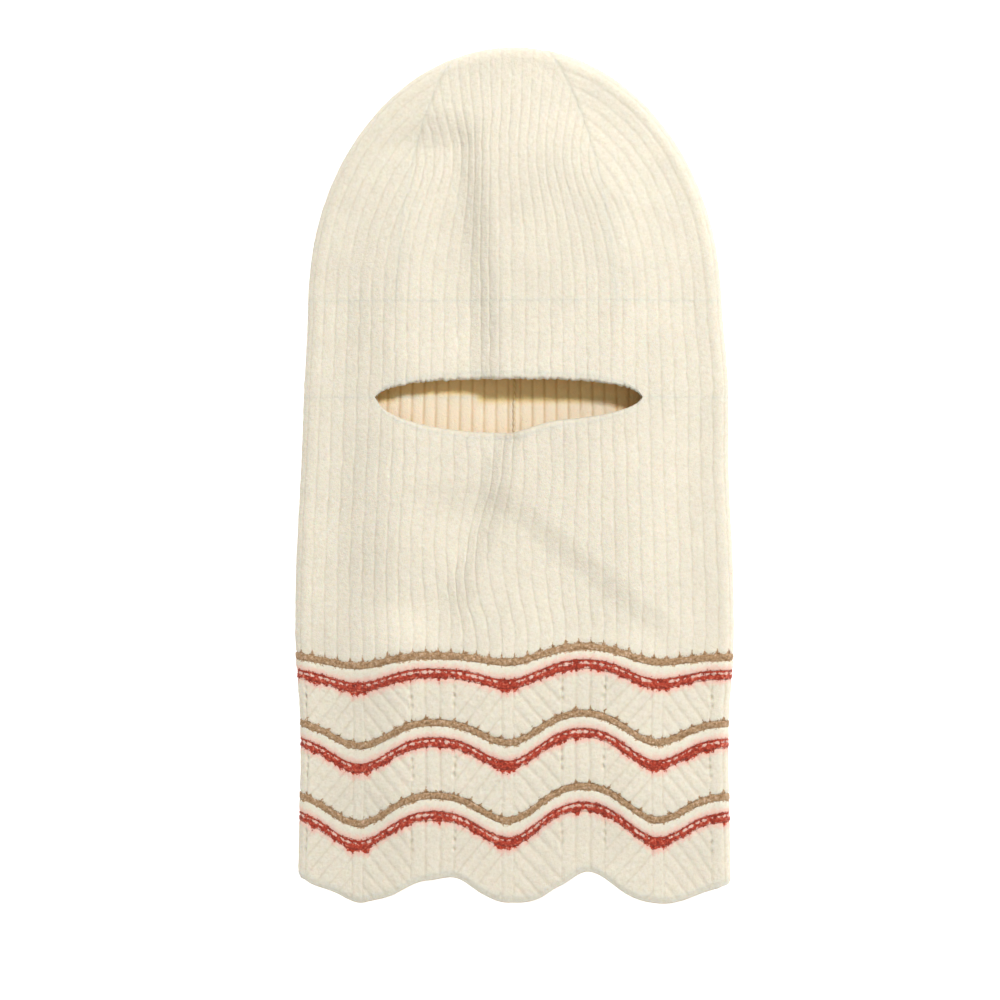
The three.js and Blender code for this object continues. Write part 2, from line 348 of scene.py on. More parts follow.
    def front_share(self, way: Array) -> Array:
        """1 on the upper layer and the side folds, easing to 0 on the back."""
        return smooth((self.flat + self.fold_length + 35.0 - np.abs(way)) / 35.0)

    def upper_share(self, way: Array) -> Array:
        """1 on the upper layer, easing to 0 at the side folds."""
        return smooth((self.flat - np.abs(way)) / 18.0)


@dataclass(frozen=True)
class Crease:
    """A soft step in the upper layer, which drops on its left side and slowly recovers."""

    path: Stops  # (y, x) from the top down
    drop: float
    steep: float
    recovery: float
    lean: float = 1.0  # cosine of the crease's slant
    fade: float = 22.0
    left_over: float = 0.25

    def low_side(self, x: Array, y: Array) -> Array:
        """Distance from the crease, positive on its lower side."""
        ys = np.array([p[0] for p in self.path[::-1]])
        xs = np.array([p[1] for p in self.path[::-1]])
        return (np.interp(y, ys, xs) - x) * self.lean

    def strength(self, y: Array) -> Array:
        """1 along the crease, easing to 0 past its two ends."""
        top, bottom = self.path[0][0], self.path[-1][0]
        return smooth((top - y) / self.fade) * smooth((y - bottom) / self.fade)

    def depth(self, x: Array, y: Array) -> Array:
        """How far the layer sinks."""
        low = self.low_side(x, y)
        back = smooth((low - self.steep) / self.recovery)
        shape = smooth(low / self.steep) * (1.0 - (1.0 - self.left_over) * back)
        return self.drop * self.strength(y) * shape


@dataclass(frozen=True)
class Drape:
    """How the upper layer settles: creases, a drift of the ribs and gentle waves."""

    slit_box: tuple[float, float, float]  # the slit's middle, half width and level
    creases: tuple[Crease, ...] = (
        Crease(
            path=((180, -11), (150, -11), (95, -5), (48, -3), (17, 8), (4, 2), (-13, -1),
                  (-36, -7), (-52, -15), (-84, -22)),
            drop=6.0,
            steep=19.0,
            recovery=60.0,
        ),
        Crease(
            path=((0, 0), (-18, 14), (-72, 80), (-96, 100)),
            drop=2.4,
            steep=15.0,
            recovery=40.0,
            lean=0.62,
        ),
    )
    squeeze: float = 0.28  # how much the ribs close up on the steep side of the first crease
    squeeze_width: float = 14.0
    drift: float = -11.0  # sideways shift of the ribs below the slit
    drift_width: float = 38.0
    wave: float = 0.4
    brow_lift: float = 2.4  # of the slit's upper lip
    row_sag: Stops = (
        (-107, -2.8), (-76, -1.5), (-39, -2.3), (-3, 0.5), (34, 2.3), (70, 0.5), (107, -3.4),
    )
    sag_y: float = -58.0  # the rows sag from here down
    corner_sag: float = 3.2  # of the right end of the hem
    corner: tuple[float, float] = (78.0, -176.0)
    left_flat: float = 0.33  # how much thinner the left edge lies
    hem_flat: float = 0.16  # how much thinner the hem lies
    bulge: float = 2.7  # of the right side beside the slit
    bulge_y: float = 45.0
    bulge_reach: float = 32.0

    def settle(self, points: Array, share: Array, slide: float | Array = 0.0) -> Array:
        """Moves points of the upper layer.

        Args:
            points: points of the smooth garment.
            share: 1 where the drape works fully, 0 where it doesn't.
            slide: the same for the sag of the rows.

        Returns:
            The moved points.
        """
        x, y, z = points[..., 0], points[..., 1], points[..., 2]
        main = self.creases[0]
        off = main.low_side(x, y) - main.steep / 2.0
        pull = self.squeeze * off * np.exp(-((off / self.squeeze_width) ** 2))
        falls = smooth(-y / 34.0) * smooth((y + 84.0) / 40.0)
        pull += self.drift / 2.0 * falls * np.exp(-(((x + 8.0) / self.drift_width) ** 2))
        moved = x + share * (pull * main.strength(y))
        sink = sum(crease.depth(moved, y) for crease in self.creases)
        sink = sink + self.wave * (1.0 + lattice_noise(x, y * 0.6, 34.0, Seed.DRAPE))
        sag = eased(x, self.row_sag) * smooth((self.sag_y - y) / 30.0)
        right, foot = self.corner
        sag = sag - self.corner_sag * smooth((x - right) / 26.0) * smooth((foot - y) / 24.0)
        level = np.exp(-(((y - self.bulge_y) / self.bulge_reach) ** 2))
        sides = smooth((x - 50.0) / 50.0) - 0.35 * smooth((-x - 50.0) / 50.0)
        moved = moved + self.bulge * level * sides
        thin = 1.0 - self.left_flat * smooth((-x - 52.0) / 50.0)
        thin = thin * (1.0 - self.hem_flat * smooth((-140.0 - y) / 60.0))
        sink = sink - self.lift(x, y)
        return np.stack([moved, y + slide * sag, (z - share * sink) * thin], axis=-1)

    def lift(self, x: Array, y: Array) -> Array:
        """How far the slit's upper lip stands up."""
        middle, half, level = self.slit_box
        along = np.clip(1.0 - ((x - middle) / half) ** 2, 0.0, 1.0)
        up = np.exp(-(((y - level - 9.0) / 16.0) ** 2))
        return np.where(y > level, self.brow_lift * along * up, 0.0)


@dataclass(frozen=True)
class Rib:
    """Shape of the knitted ribs."""

    count: int = 72
    plain: float = 0.40  # depth of the plain ribs' grooves outside
    # plain_shade and fan_shade: strength of the painted shade in the grooves
    plain_shade: float = 0.8
    outer: float = 0.50  # depth of the fans' grooves
    fan_shade: float = 1.5
    inner: float = 0.6
    bluntness: float = 4.0
    wander: float = 0.42  # sideways wobble of a groove
    lobe: float = 2.6  # length of a rib's rounded end
    tooth: float = 1.5  # how far single tan fibres reach up a groove
    scoop: float = 1.3  # how far the tan yarn rises between two rounded rib ends
    sunk: float = 0.14  # how far the ribs' tops lie below the plain surface

    def across(self, phase: Array) -> Array:
        """0 on the middle of a rib and 1 in a groove, which lies at whole phases."""
        return np.abs(2.0 * (phase - np.floor(phase)) - 1.0)

    def drop(self, across: Array, depth: float) -> Array:
        """How far the surface lies below the top of the ribs."""
        return depth * across**self.bluntness

    def shade(self, across: Array) -> Array:
        """Painted shade in the grooves, 0 to 1."""
        return smooth((across - 0.68) / 0.32) ** 1.2

    def patchy(self, way: Array, y: Array) -> Array:
        """Uneven strength of a groove's painted shade, from stitch to stitch."""
        blots = 0.45 * lattice_noise(way, y, 2.1, Seed.BLOT)
        return 0.72 + 0.4 * lattice_noise(way, y * 0.5, 3.0, Seed.PATCH) + blots

    def wobble(self, way: Array, y: Array) -> Array:
        """Sideways wander of the grooves, in millimetres."""
        stitch = 0.45 * lattice_noise(way, y, 1.7, Seed.WOBBLE_STITCH)
        fine = 0.4 * lattice_noise(way, y, 3.1, Seed.WOBBLE_FINE) + stitch
        return self.wander * (0.9 * lattice_noise(way * 0.9, y, 7.0, Seed.WOBBLE) + fine)

    def unevenness(self, phase: Array, y: Array) -> Array:
        """How deep a groove is from place to place, about 1."""
        return 1.0 + 0.35 * lattice_noise(np.round(phase) * 3.1, y, 9.0, Seed.UNEVEN)

    def fluff(self, way: Array, y: Array) -> Array:
        """Small bumps of brushed fibre."""
        fine = 0.08 * lattice_noise(way, y, 1.1, Seed.FLUFF_FINE)
        return 0.10 * lattice_noise(way, y, 1.9, Seed.FLUFF) + fine

    def brushed(self, depth: Array, way: Array, y: Array) -> Array:
        """A groove depth with the fluff on it."""
        return depth + self.fluff(way, y) + self.sunk

    def reach(self, across: Array) -> Array:
        """How far the tan yarn below reaches up past the ribs' ends."""
        return self.scoop * across**2.5 + self.tooth * across**10

    def tan_border(self, way: Array, y: Array, above: Array, across: Array, seed: int) -> Array:
        """Distance from the ragged upper edge of the tan yarn below.

        Args:
            way: distance round the tube.
            y: height.
            above: height over the tan ridge's upper edge.
            across: 0 on the middle of a rib, 1 in a groove.
            seed: picks the raggedness.

        Returns:
            The distance, negative inside the tan yarn.
        """
        ragged = 0.75 * lattice_noise(way, y * 0.5, 1.1, seed)
        return above - self.reach(across) - 0.1 + ragged

    def end(self, distance: Array, length: float) -> Array:
        """Rounded end of a rib: 1 at its tip, 0 from length on."""
        k = np.clip(1.0 - distance / length, 0.0, 1.0)
        return 1.0 - np.sqrt(1.0 - k * k)


# ---- Meshes ----


@dataclass
class Patch:
    """The vertex grid of a closed shell: its rows go round the section, its columns along it."""

    points: Array
    closed: bool
    marks: dict[str, Array] = field(default_factory=dict)


@dataclass(frozen=True)
class ShellMesh:
    """Turns a patch into a mesh with a bake map, per-vertex marks and smooth shading."""

    sharp_angle: float = 62.0
    chart: float = 0.96  # width of the main chart; the end caps use the rest

    def build(self, name: str, patch: Patch) -> bpy.types.Object:
        """Makes the object.

        Args:
            name: name of the piece.
            patch: its grid, in millimetres.

        Returns:
            The object, linked to the scene.
        """
        rows, columns = patch.points.shape[:2]
        index = np.arange(rows * columns).reshape(rows, columns)
        last = columns if patch.closed else columns - 1
        i, j = np.meshgrid(np.arange(rows), np.arange(last), indexing="ij")
        corners = [(i, j), (i, j + 1), (i + 1, j + 1), (i + 1, j)]
        faces = np.stack([index[a % rows, b % columns] for a, b in corners], axis=-1)
        down = self._lengths(patch.points, axis=0, closed=True)
        along = self._lengths(patch.points, axis=1, closed=patch.closed)
        maps = np.stack(
            [np.stack([along[b] * self.chart, down[a]], axis=-1) for a, b in corners], axis=-2
        )
        faces, maps = faces.reshape(-1, 4), maps.reshape(-1, 4, 2)
        if not patch.closed:
            caps = [self._cap(index, down, end) for end in (0, columns - 1)]
            faces = np.concatenate([faces] + [c[0] for c in caps])
            maps = np.concatenate([maps] + [c[1] for c in caps])
        points = patch.points.reshape(-1, 3) * MM
        if self._volume(points, faces) < 0.0:
            faces, maps = faces[:, ::-1], maps[:, ::-1]
        return self._object(name, points, faces, maps, patch.marks)

    def _lengths(self, points: Array, axis: int, closed: bool) -> Array:
        """Mean length along one axis of the grid, from 0 to 1, one value more if it closes."""
        ahead = np.roll(points, -1, axis=axis) if closed else points[:, 1:]
        step = np.linalg.norm(ahead - (points if closed else points[:, :-1]), axis=-1)
        total = np.concatenate([[0.0], np.cumsum(step.mean(axis=1 - axis))])
        return total / total[-1]

    def _cap(self, index: Array, down: Array, end: int) -> tuple[Array, Array]:
        """Closes one end of an open patch with a strip of quads between its two faces."""
        rows = index.shape[0]
        half = rows // 2
        k = np.arange(half - 1)
        loop = [k, k + 1, rows - 2 - k, rows - 1 - k]
        quads = np.stack([index[r, end] for r in loop], axis=-1)
        if end == 0:
            quads = quads[:, ::-1]
        left = self.chart + (0.005 if end == 0 else 0.02)
        sides = [left, left, left + 0.01, left + 0.01]
        levels = [down[k], down[k + 1], down[k + 1], down[k]]
        spots = np.stack([np.stack([np.full(k.shape, s), v], axis=-1)
                          for s, v in zip(sides, levels)], axis=-2)
        return quads, spots[:, ::-1] if end == 0 else spots

    @staticmethod
    def _volume(points: Array, faces: Array) -> float:
        """Signed volume of the closed mesh."""
        a, b, c, d = (points[faces[:, k]] for k in range(4))
        first = np.einsum("ij,ij->i", a, np.cross(b, c))
        second = np.einsum("ij,ij->i", a, np.cross(c, d))
        return float((first + second).sum() / 6.0)

    def _object(
        self, name: str, points: Array, faces: Array, maps: Array, marks: dict[str, Array]
    ) -> bpy.types.Object:
        """Writes the arrays to a new mesh object.

        Args:
            name: name of the piece.
            points: vertices, in metres.
            faces: four vertex numbers for each face.
            maps: four bake map points for each face.
            marks: values for each vertex, by name.

        Returns:
            The object, linked to the scene.
        """
        mesh = bpy.data.meshes.new(name)
        mesh.vertices.add(len(points))
        mesh.vertices.foreach_set("co", points.astype(np.float32).ravel())
        mesh.loops.add(faces.size)
        mesh.loops.foreach_set("vertex_index", np.ascontiguousarray(faces).ravel())
        mesh.polygons.add(len(faces))
        mesh.polygons.foreach_set("loop_start", np.arange(0, faces.size, 4))
        mesh.polygons.foreach_set("use_smooth", np.ones(len(faces), dtype=bool))
        mesh.update(calc_edges=True)
        charts = mesh.uv_layers.new(name=BAKE_MAP)
        charts.data.foreach_set("uv", np.ascontiguousarray(maps).astype(np.float32).ravel())
        for mark, values in marks.items():
            layer = mesh.attributes.new(mark, "FLOAT", "POINT")
            layer.data.foreach_set("value", values.astype(np.float32).ravel())
        mesh.set_sharp_from_angle(angle=math.radians(self.sharp_angle))
        return linked(name, mesh)


# ---- Finishes ----


class Shader:
    """A material's node tree, with short calls to add and join nodes."""

    def __init__(self, name: str) -> None:
        """Starts an empty node material.

        Args:
            name: name of the material.
        """
        self.material = bpy.data.materials.new(name)
        self.material.use_nodes = True
        self.tree = self.material.node_tree
        self.tree.nodes.clear()

    def feed(self, socket: Socket, value: Value) -> None:
        """Sets a socket to a value, or joins another node's output to it."""
        if isinstance(value, Socket):
            self.tree.links.new(value, socket)
        else:
            socket.default_value = value

    def add(self, kind: str, inputs: Optional[dict] = None, **settings: object) -> bpy.types.Node:
        """Adds a node.

        Args:
            kind: its type name.
            inputs: socket name or number to a value or to another node's output.
            settings: the node's own properties.

        Returns:
            The node.
        """
        node = self.tree.nodes.new(kind)
        for key, value in settings.items():
            setattr(node, key, value)
        for key, value in (inputs or {}).items():
            self.feed(node.inputs[key], value)
        return node

    def mark(self, name: str) -> Socket:
        """Value of a per-vertex mark."""
        return self.add("ShaderNodeAttribute", attribute_name=name).outputs["Fac"]

    def noise(self, place: Socket, scale: float, detail: float, rough: float = 0.6) -> Socket:
        """Noise in object coordinates, as a value."""
        inputs = {"Vector": place, "Scale": scale, "Detail": detail, "Roughness": rough}
        return self.add("ShaderNodeTexNoise", inputs).outputs["Fac"]

    def maths(self, operation: str, a: Value, b: Value) -> Socket:
        """A math node's value."""
        return self.add("ShaderNodeMath", {0: a, 1: b}, operation=operation).outputs[0]

    def ramp(
        self, value: Socket, low: float, high: float, start: float = 0.0, stop: float = 1.0
    ) -> Socket:
        """Maps a value from low..high to start..stop, smoothly and clamped."""
        node = self.add(
            "ShaderNodeMapRange",
            {"Value": value, "From Min": low, "From Max": high, "To Min": start, "To Max": stop},
            interpolation_type="SMOOTHSTEP",
        )
        return node.outputs["Result"]

    def blend(self, factor: Value, a: Value, b: Value, kind: str = "MIX") -> Socket:
        """Mixes two colours."""
        inputs = {0: factor, 6: a, 7: b}
        return self.add("ShaderNodeMix", inputs, data_type="RGBA", blend_type=kind).outputs[2]

    def grey(self, value: Socket) -> Socket:
        """A value as a grey colour."""
        return self.add("ShaderNodeCombineColor", {0: value, 1: value, 2: value}).outputs[0]

    def surface(self, inputs: dict) -> bpy.types.Material:
        """Joins a surface with these inputs to the output, and gives the material."""
        made = self.add("ShaderNodeBsdfPrincipled", inputs)
        self.add("ShaderNodeOutputMaterial", {"Surface": made.outputs[0]})
        return self.material


@dataclass(frozen=True)
class Yarn:
    """One dyed yarn: its main colour and the darker and lighter flecks in it."""

    main: Colour
    dark: Colour
    light: Colour

    def colour(self, shader: Shader, fleck: Socket) -> Socket:
        """Colour of the yarn from a fleck value of about 0.3 to 0.7."""
        low = shader.blend(shader.ramp(fleck, 0.38, 0.50), self.dark, self.main)
        return shader.blend(shader.ramp(fleck, 0.54, 0.65), low, self.light)


CREAM = Yarn((0.835, 0.775, 0.640, 1), (0.790, 0.725, 0.585, 1), (0.865, 0.812, 0.690, 1))
TAN = Yarn((0.480, 0.300, 0.162, 1), (0.290, 0.160, 0.068, 1), (0.740, 0.530, 0.370, 1))
RED = Yarn((0.490, 0.048, 0.020, 1), (0.230, 0.020, 0.009, 1), (0.760, 0.220, 0.140, 1))


@dataclass(frozen=True)
class Wool:
    """Brushed wool knitting: yarn colours, grooves with painted shade, a lining with painted bounce
    light and shadow, dyed borders, fibres and a soft sheen.
    """

    name: str
    yarn: Yarn = CREAM
    # painted shade: the colour the groove mark lays into grooves, holes and gaps
    groove: Colour = (0.640, 0.555, 0.410, 1)
    groove_share: float = 0.36
    # the lining is warmer than the yarn as painted bounce light; inside_groove is painted shade in
    # its grooves
    inside: Colour = (0.930, 0.815, 0.615, 1)
    inside_groove: Colour = (0.730, 0.560, 0.350, 1)
    # painted shadow of the brow: the share of the lining's colour kept where no direct light
    # reaches
    painted_brow_shadow: Colour = (1.000, 0.850, 0.500, 1)  # share of the lining's colour kept there
    halo: Colour = (0.900, 0.545, 0.450, 1)
    bordered: bool = False
    border_grain: float = 1500.0
    border_ragged: float = 4.2
    halo_reach: float = 3.6  # millimetres past the red yarn
    halo_strength: float = 0.92
    fleck: float = 620.0
    fibre_bump: float = 0.55
    sheen: float = 0.25
    glow: float = 0.25  # light that goes through the brushed fibres

    def material(self) -> bpy.types.Material:
        """Builds the node material."""
        shader = Shader(self.name)
        place = shader.add("ShaderNodeTexCoord").outputs["Object"]
        fleck = shader.noise(place, self.fleck, 4.0, 0.7)
        cloud = shader.noise(place, 42.0, 3.0)
        colour = self.yarn.colour(shader, fleck)
        if self.bordered:
            colour = self._borders(shader, colour, place, fleck)
        # Painted shade: the groove mark darkens the yarn in grooves, holes and gaps.
        groove = shader.mark("groove")
        ragged = shader.maths("MULTIPLY", groove, shader.ramp(fleck, 0.25, 0.6, 0.55, 1.0))
        dark = shader.maths("MULTIPLY", ragged, self.groove_share)
        tint = shader.blend(dark, (1, 1, 1, 1), self._ratio(self.groove))
        colour = shader.blend(1.0, colour, tint, "MULTIPLY")
        # Painted bounce light: the lining's warm colour; its grooves get painted shade.
        lining = shader.blend(shader.ramp(fleck, 0.35, 0.65), self.inside, CREAM.main)
        lining = shader.blend(0.35, self.inside, lining)
        lining = shader.blend(groove, lining, self.inside_groove)
        # Painted shadow: where the inner mark runs from 1 to 2, the lining is multiplied by the
        # brow-shadow colour.
        deep = shader.ramp(shader.mark("inner"), 1.0, 2.0)
        lining = shader.blend(deep, lining, self.painted_brow_shadow, "MULTIPLY")
        colour = shader.blend(shader.ramp(shader.mark("inner"), 0.45, 0.55), colour, lining)
        shade = shader.grey(shader.ramp(cloud, 0.3, 0.7, 0.965, 1.015))
        colour = shader.blend(1.0, colour, shade, "MULTIPLY")
        return shader.surface({
            "Base Color": colour,
            "Roughness": 0.95,
            "Specular IOR Level": 0.12,
            "Sheen Weight": self.sheen,
            "Sheen Roughness": 0.6,
            "Sheen Tint": (1.0, 0.97, 0.9, 1.0),
            "Subsurface Weight": self.glow,
            "Subsurface Radius": (1.0, 0.55, 0.28),
            "Subsurface Scale": 0.0025,
            "Normal": self._bump(shader, place),
        })

    @staticmethod
    def _ratio(colour: Colour) -> Colour:
        """A colour as a share of the cream yarn's."""
        return tuple(a / b for a, b in zip(colour[:3], CREAM.main[:3])) + (1.0,)

    def _borders(self, shader: Shader, colour: Socket, place: Socket, fleck: Socket) -> Socket:
        """Adds the tan and red yarn that reaches into a cream piece past its borders.

        Args:
            shader: the node tree.
            colour: colour of the piece's own yarn.
            place: object coordinates.
            fleck: the yarn's fleck value.

        Returns:
            The colour with both borders in it.
        """
        grain = shader.noise(place, self.border_grain, 2.0)
        centred = shader.maths("SUBTRACT", grain, 0.5)
        ragged = shader.maths("MULTIPLY", centred, self.border_ragged)
        for mark, yarn in (("tan", TAN), ("red", RED)):
            edge = shader.maths("ADD", shader.mark(mark), ragged)
            if yarn is RED:
                glow = shader.ramp(edge, 0.0, self.halo_reach, self.halo_strength, 0.0)
                colour = shader.blend(glow, colour, self.halo)
            inside = shader.ramp(edge, -0.22, 0.22, 1.0, 0.0)
            colour = shader.blend(inside, colour, yarn.colour(shader, fleck))
        return colour

    def _bump(self, shader: Shader, place: Socket) -> Socket:
        """Loops of yarn and fibres, as a bump."""
        fibres = shader.noise(place, 1900.0, 3.0, 0.75)
        loops = shader.noise(place, 520.0, 2.0)
        height = shader.maths("ADD", fibres, shader.maths("MULTIPLY", loops, 1.2))
        inputs = {"Height": height, "Strength": self.fibre_bump, "Distance": 0.0006}
        return shader.add("ShaderNodeBump", inputs).outputs[0]


@dataclass(frozen=True)
class Paper:
    """Plain pale studio paper for the floor."""

    tone: float = 0.78
    lift: float = 0.82  # its own light, which keeps it white in the shadow

    def material(self) -> bpy.types.Material:
        """Builds the node material."""
        shader = Shader("studio_paper")
        place = shader.add("ShaderNodeTexCoord").outputs["Object"]
        grain = shader.noise(place, 6.0, 2.0)
        colour = shader.grey(shader.ramp(grain, 0.3, 0.7, self.tone - 0.005, self.tone))
        return shader.surface({
            "Base Color": colour,
            "Roughness": 0.9,
            "Specular IOR Level": 0.0,
            "Emission Color": (1.0, 1.0, 1.0, 1.0),
            "Emission Strength": self.lift,
        })


class Finish(Enum):
    """The finishes of the mask's pieces."""

    RIB = Wool("cream_rib_wool")
    BORDERED = Wool("cream_rib_wool_bordered", bordered=True)
    ROLL = Wool("cream_roll_wool", bordered=True, fibre_bump=0.35)
    TAN = Wool("tan_wool", TAN, groove_share=0.5, bordered=True, fleck=760.0, fibre_bump=0.8)
    RED = Wool("red_wool", groove_share=0.5, bordered=True, fleck=720.0, fibre_bump=0.8)


@dataclass
class Wardrobe:
    """The finished materials, each made once."""

    made: dict[Finish, bpy.types.Material] = field(default_factory=dict)

    def dress(self, piece: bpy.types.Object, finish: Finish) -> None:
        """Puts a finish on a piece."""
        if finish not in self.made:
            self.made[finish] = finish.value.material()
        piece.data.materials.clear()
        piece.data.materials.append(self.made[finish])


# ---- Sections of the mask ----


@dataclass
class Workshop:
    """What every section is made with."""

    garment: Garment
    drape: Drape
    rib: Rib
    shells: ShellMesh = ShellMesh()
    wardrobe: Wardrobe = field(default_factory=Wardrobe)

    def place(self, piece: bpy.types.Object, node: str, slot: str, finish: Finish) -> None:
        """Dresses a piece and puts it in its node's place on the body.

        Args:
            piece: the piece.
            node: the node it stands for.
            slot: the record's material slot; not used.
            finish: its finish.
        """
        self.wardrobe.dress(piece, finish)
        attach(piece, BODY)
        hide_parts(node)
        LOG.info("%s: %d faces", piece.name, len(piece.data.polygons))

    @property
    def pitch(self) -> float:
        """Width of a rib at the stripes."""
        return self.garment.round_length / self.rib.count

    def rib_ways(self, steps: Sequence[float]) -> Array:
        """Places round the tube, so many across each rib and close together at its grooves."""
        ribs = np.arange(-self.rib.count // 2, self.rib.count // 2)[:, None]
        return ((ribs + np.array(steps)[None, :]) * self.pitch).ravel()

    def even_ways(self, spacing: float) -> Array:
        """Places round the tube at an even spacing."""
        count = int(self.garment.round_length / spacing)
        half = self.garment.round_length / 2.0
        return np.linspace(-half, half, count, endpoint=False)


RIB_STEPS = (0.0, 0.035, 0.09, 0.18, 0.32, 0.5, 0.68, 0.82, 0.91, 0.965)


@dataclass(frozen=True)
class Relief:
    """What a band's pattern gives at its points."""

    outer: Array
    inner: Array
    # groove and inner_groove: painted shade in grooves, holes and gaps, outside and on the lining
    groove: Array
    inner_groove: Array
    tan: Array
    red: Array


@dataclass
class Band:
    """A closed ring of knitting between two lines round the tube."""

    shop: Workshop
    name: str
    lower: Line
    upper: Line
    pattern: Callable[[Array, Array, Array, Array], Relief]
    ways: Array
    rows: int
    inner_rows: int
    rolled: bool = False  # a rounded lower rim
    rim: float = 1.6  # how far a rolled rim hangs below and tucks in above the lower line
    # mask of painted shadow on the lining, 0 to 1
    painted_lining_shadow: Field = lambda way, y: np.zeros_like(way)

    def profile(self) -> tuple[Array, Array]:
        """Shares of height and of wall depth round the section, from the outer lower edge."""
        outer = np.linspace(0.0, 1.0, self.rows + 1)
        inner = np.linspace(1.0, 0.0, self.inner_rows + 1)
        v = np.concatenate([outer, inner])
        w = np.concatenate([np.zeros_like(outer), np.ones_like(inner)])
        if self.rolled:
            turn = np.linspace(0.0, math.pi, 9)[1:-1]
            v = np.concatenate([v, np.zeros(len(turn))])
            w = np.concatenate([w, 0.5 + 0.5 * np.cos(turn)])
        return v[:, None], w[:, None]

    def build(self) -> bpy.types.Object:
        """Makes the ring."""
        garment = self.shop.garment
        v, w = self.profile()
        way = np.broadcast_to(self.ways[None, :], (len(v), len(self.ways)))
        low, high = self.lower(self.ways)[None, :], self.upper(self.ways)[None, :]
        y = mix(low, high, v)
        relief = self.pattern(way, y, low, high)
        if self.rolled:
            bulge = np.sqrt(np.clip(0.25 - (w - 0.5) ** 2, 0.0, 1.0))
            y = y + np.where(v == 0.0, self.rim - 2.0 * self.rim * bulge, 0.0)
        outer = np.where(np.abs(way) > garment.flat, np.maximum(relief.outer, 0.0), relief.outer)
        depth = mix(outer, garment.wall - relief.inner, w)
        share = garment.upper_share(way)
        slide = garment.front_share(way)
        points = self.shop.drape.settle(garment.tube(way, y, depth), share, slide)
        groove = mix(relief.groove, relief.inner_groove, w)
        # "inner" is 0 outside, 1 on the lining and 2 on lining that no direct light reaches, which
        # gets painted shadow.
        marks = {"groove": groove, "tan": relief.tan, "red": relief.red,
                 "inner": w * (1.0 + np.maximum(share, self.painted_lining_shadow(way, y)))}
        patch = Patch(points, closed=True, marks=marks)
        return self.shop.shells.build(self.name, patch)

    def flat_size(self) -> tuple[float, float]:
        """Length round the tube and mean height, in metres."""
        height = float(np.mean(self.upper(self.ways) - self.lower(self.ways)))
        return self.shop.garment.round_length * MM, height * MM


@dataclass(frozen=True)
class Slit:
    """Sizes of the eye slit."""

    width: float = 128.6
    x: float = -2.9
    y: float = 37.7
    rise: float = 8.8
    drop_left: float = 17.6
    drop_right: float = 12.2
    crease: tuple[float, float] = (0.0, 0.4)
    edge: float = 3.2
    edge_tip: float = 0.6
    lit_below: float = 1.2  # how far under its level light falls on the seam
    shadow: Stops = (  # level of the brow's shade, share by share
        (-1.0, -1.2), (-0.75, 0.9), (-0.5, 2.4), (-0.32, 1.9), (-0.2, -0.7), (0.3, -1.3),
        (0.6, -2.3), (0.85, -4.6), (0.95, -6.0),
    )

    def flat(self, garment: Garment) -> float:
        """The tube's flat half width at the slit's level."""
        return float(garment.half_width(np.array(self.y))) - garment.edge_radius

    def share(self, garment: Garment, way: Array) -> Array:
        """Place along the slit, from -1 to 1."""
        return 2.0 * (way * self.flat(garment) / garment.flat - self.x) / self.width

    def way(self, garment: Garment, share: Array) -> Array:
        """The other way: distance round the tube of a place along the slit."""
        return (self.x + share * self.width / 2.0) * garment.flat / self.flat(garment)

    def upper(self, share: Array) -> Array:
        """Height of the upper lip."""
        return self.y + self.rise * np.sqrt(1.0 - np.clip(np.abs(share), 0, 1) ** 3)

    def lower(self, share: Array) -> Array:
        """Height of the lower lip."""
        k = np.clip(share, -1.0, 1.0)
        start, stop = self.crease
        drop = mix(self.drop_left, self.drop_right, smooth((k - start) / (stop - start)))
        return self.y - drop * np.sqrt(1.0 - k**2)

    def lip(self, share: Array) -> Array:
        """Height of the bound edge along a lip."""
        return mix(self.edge_tip, self.edge, np.sqrt(np.clip(1.0 - share**2, 0.0, 1.0)))


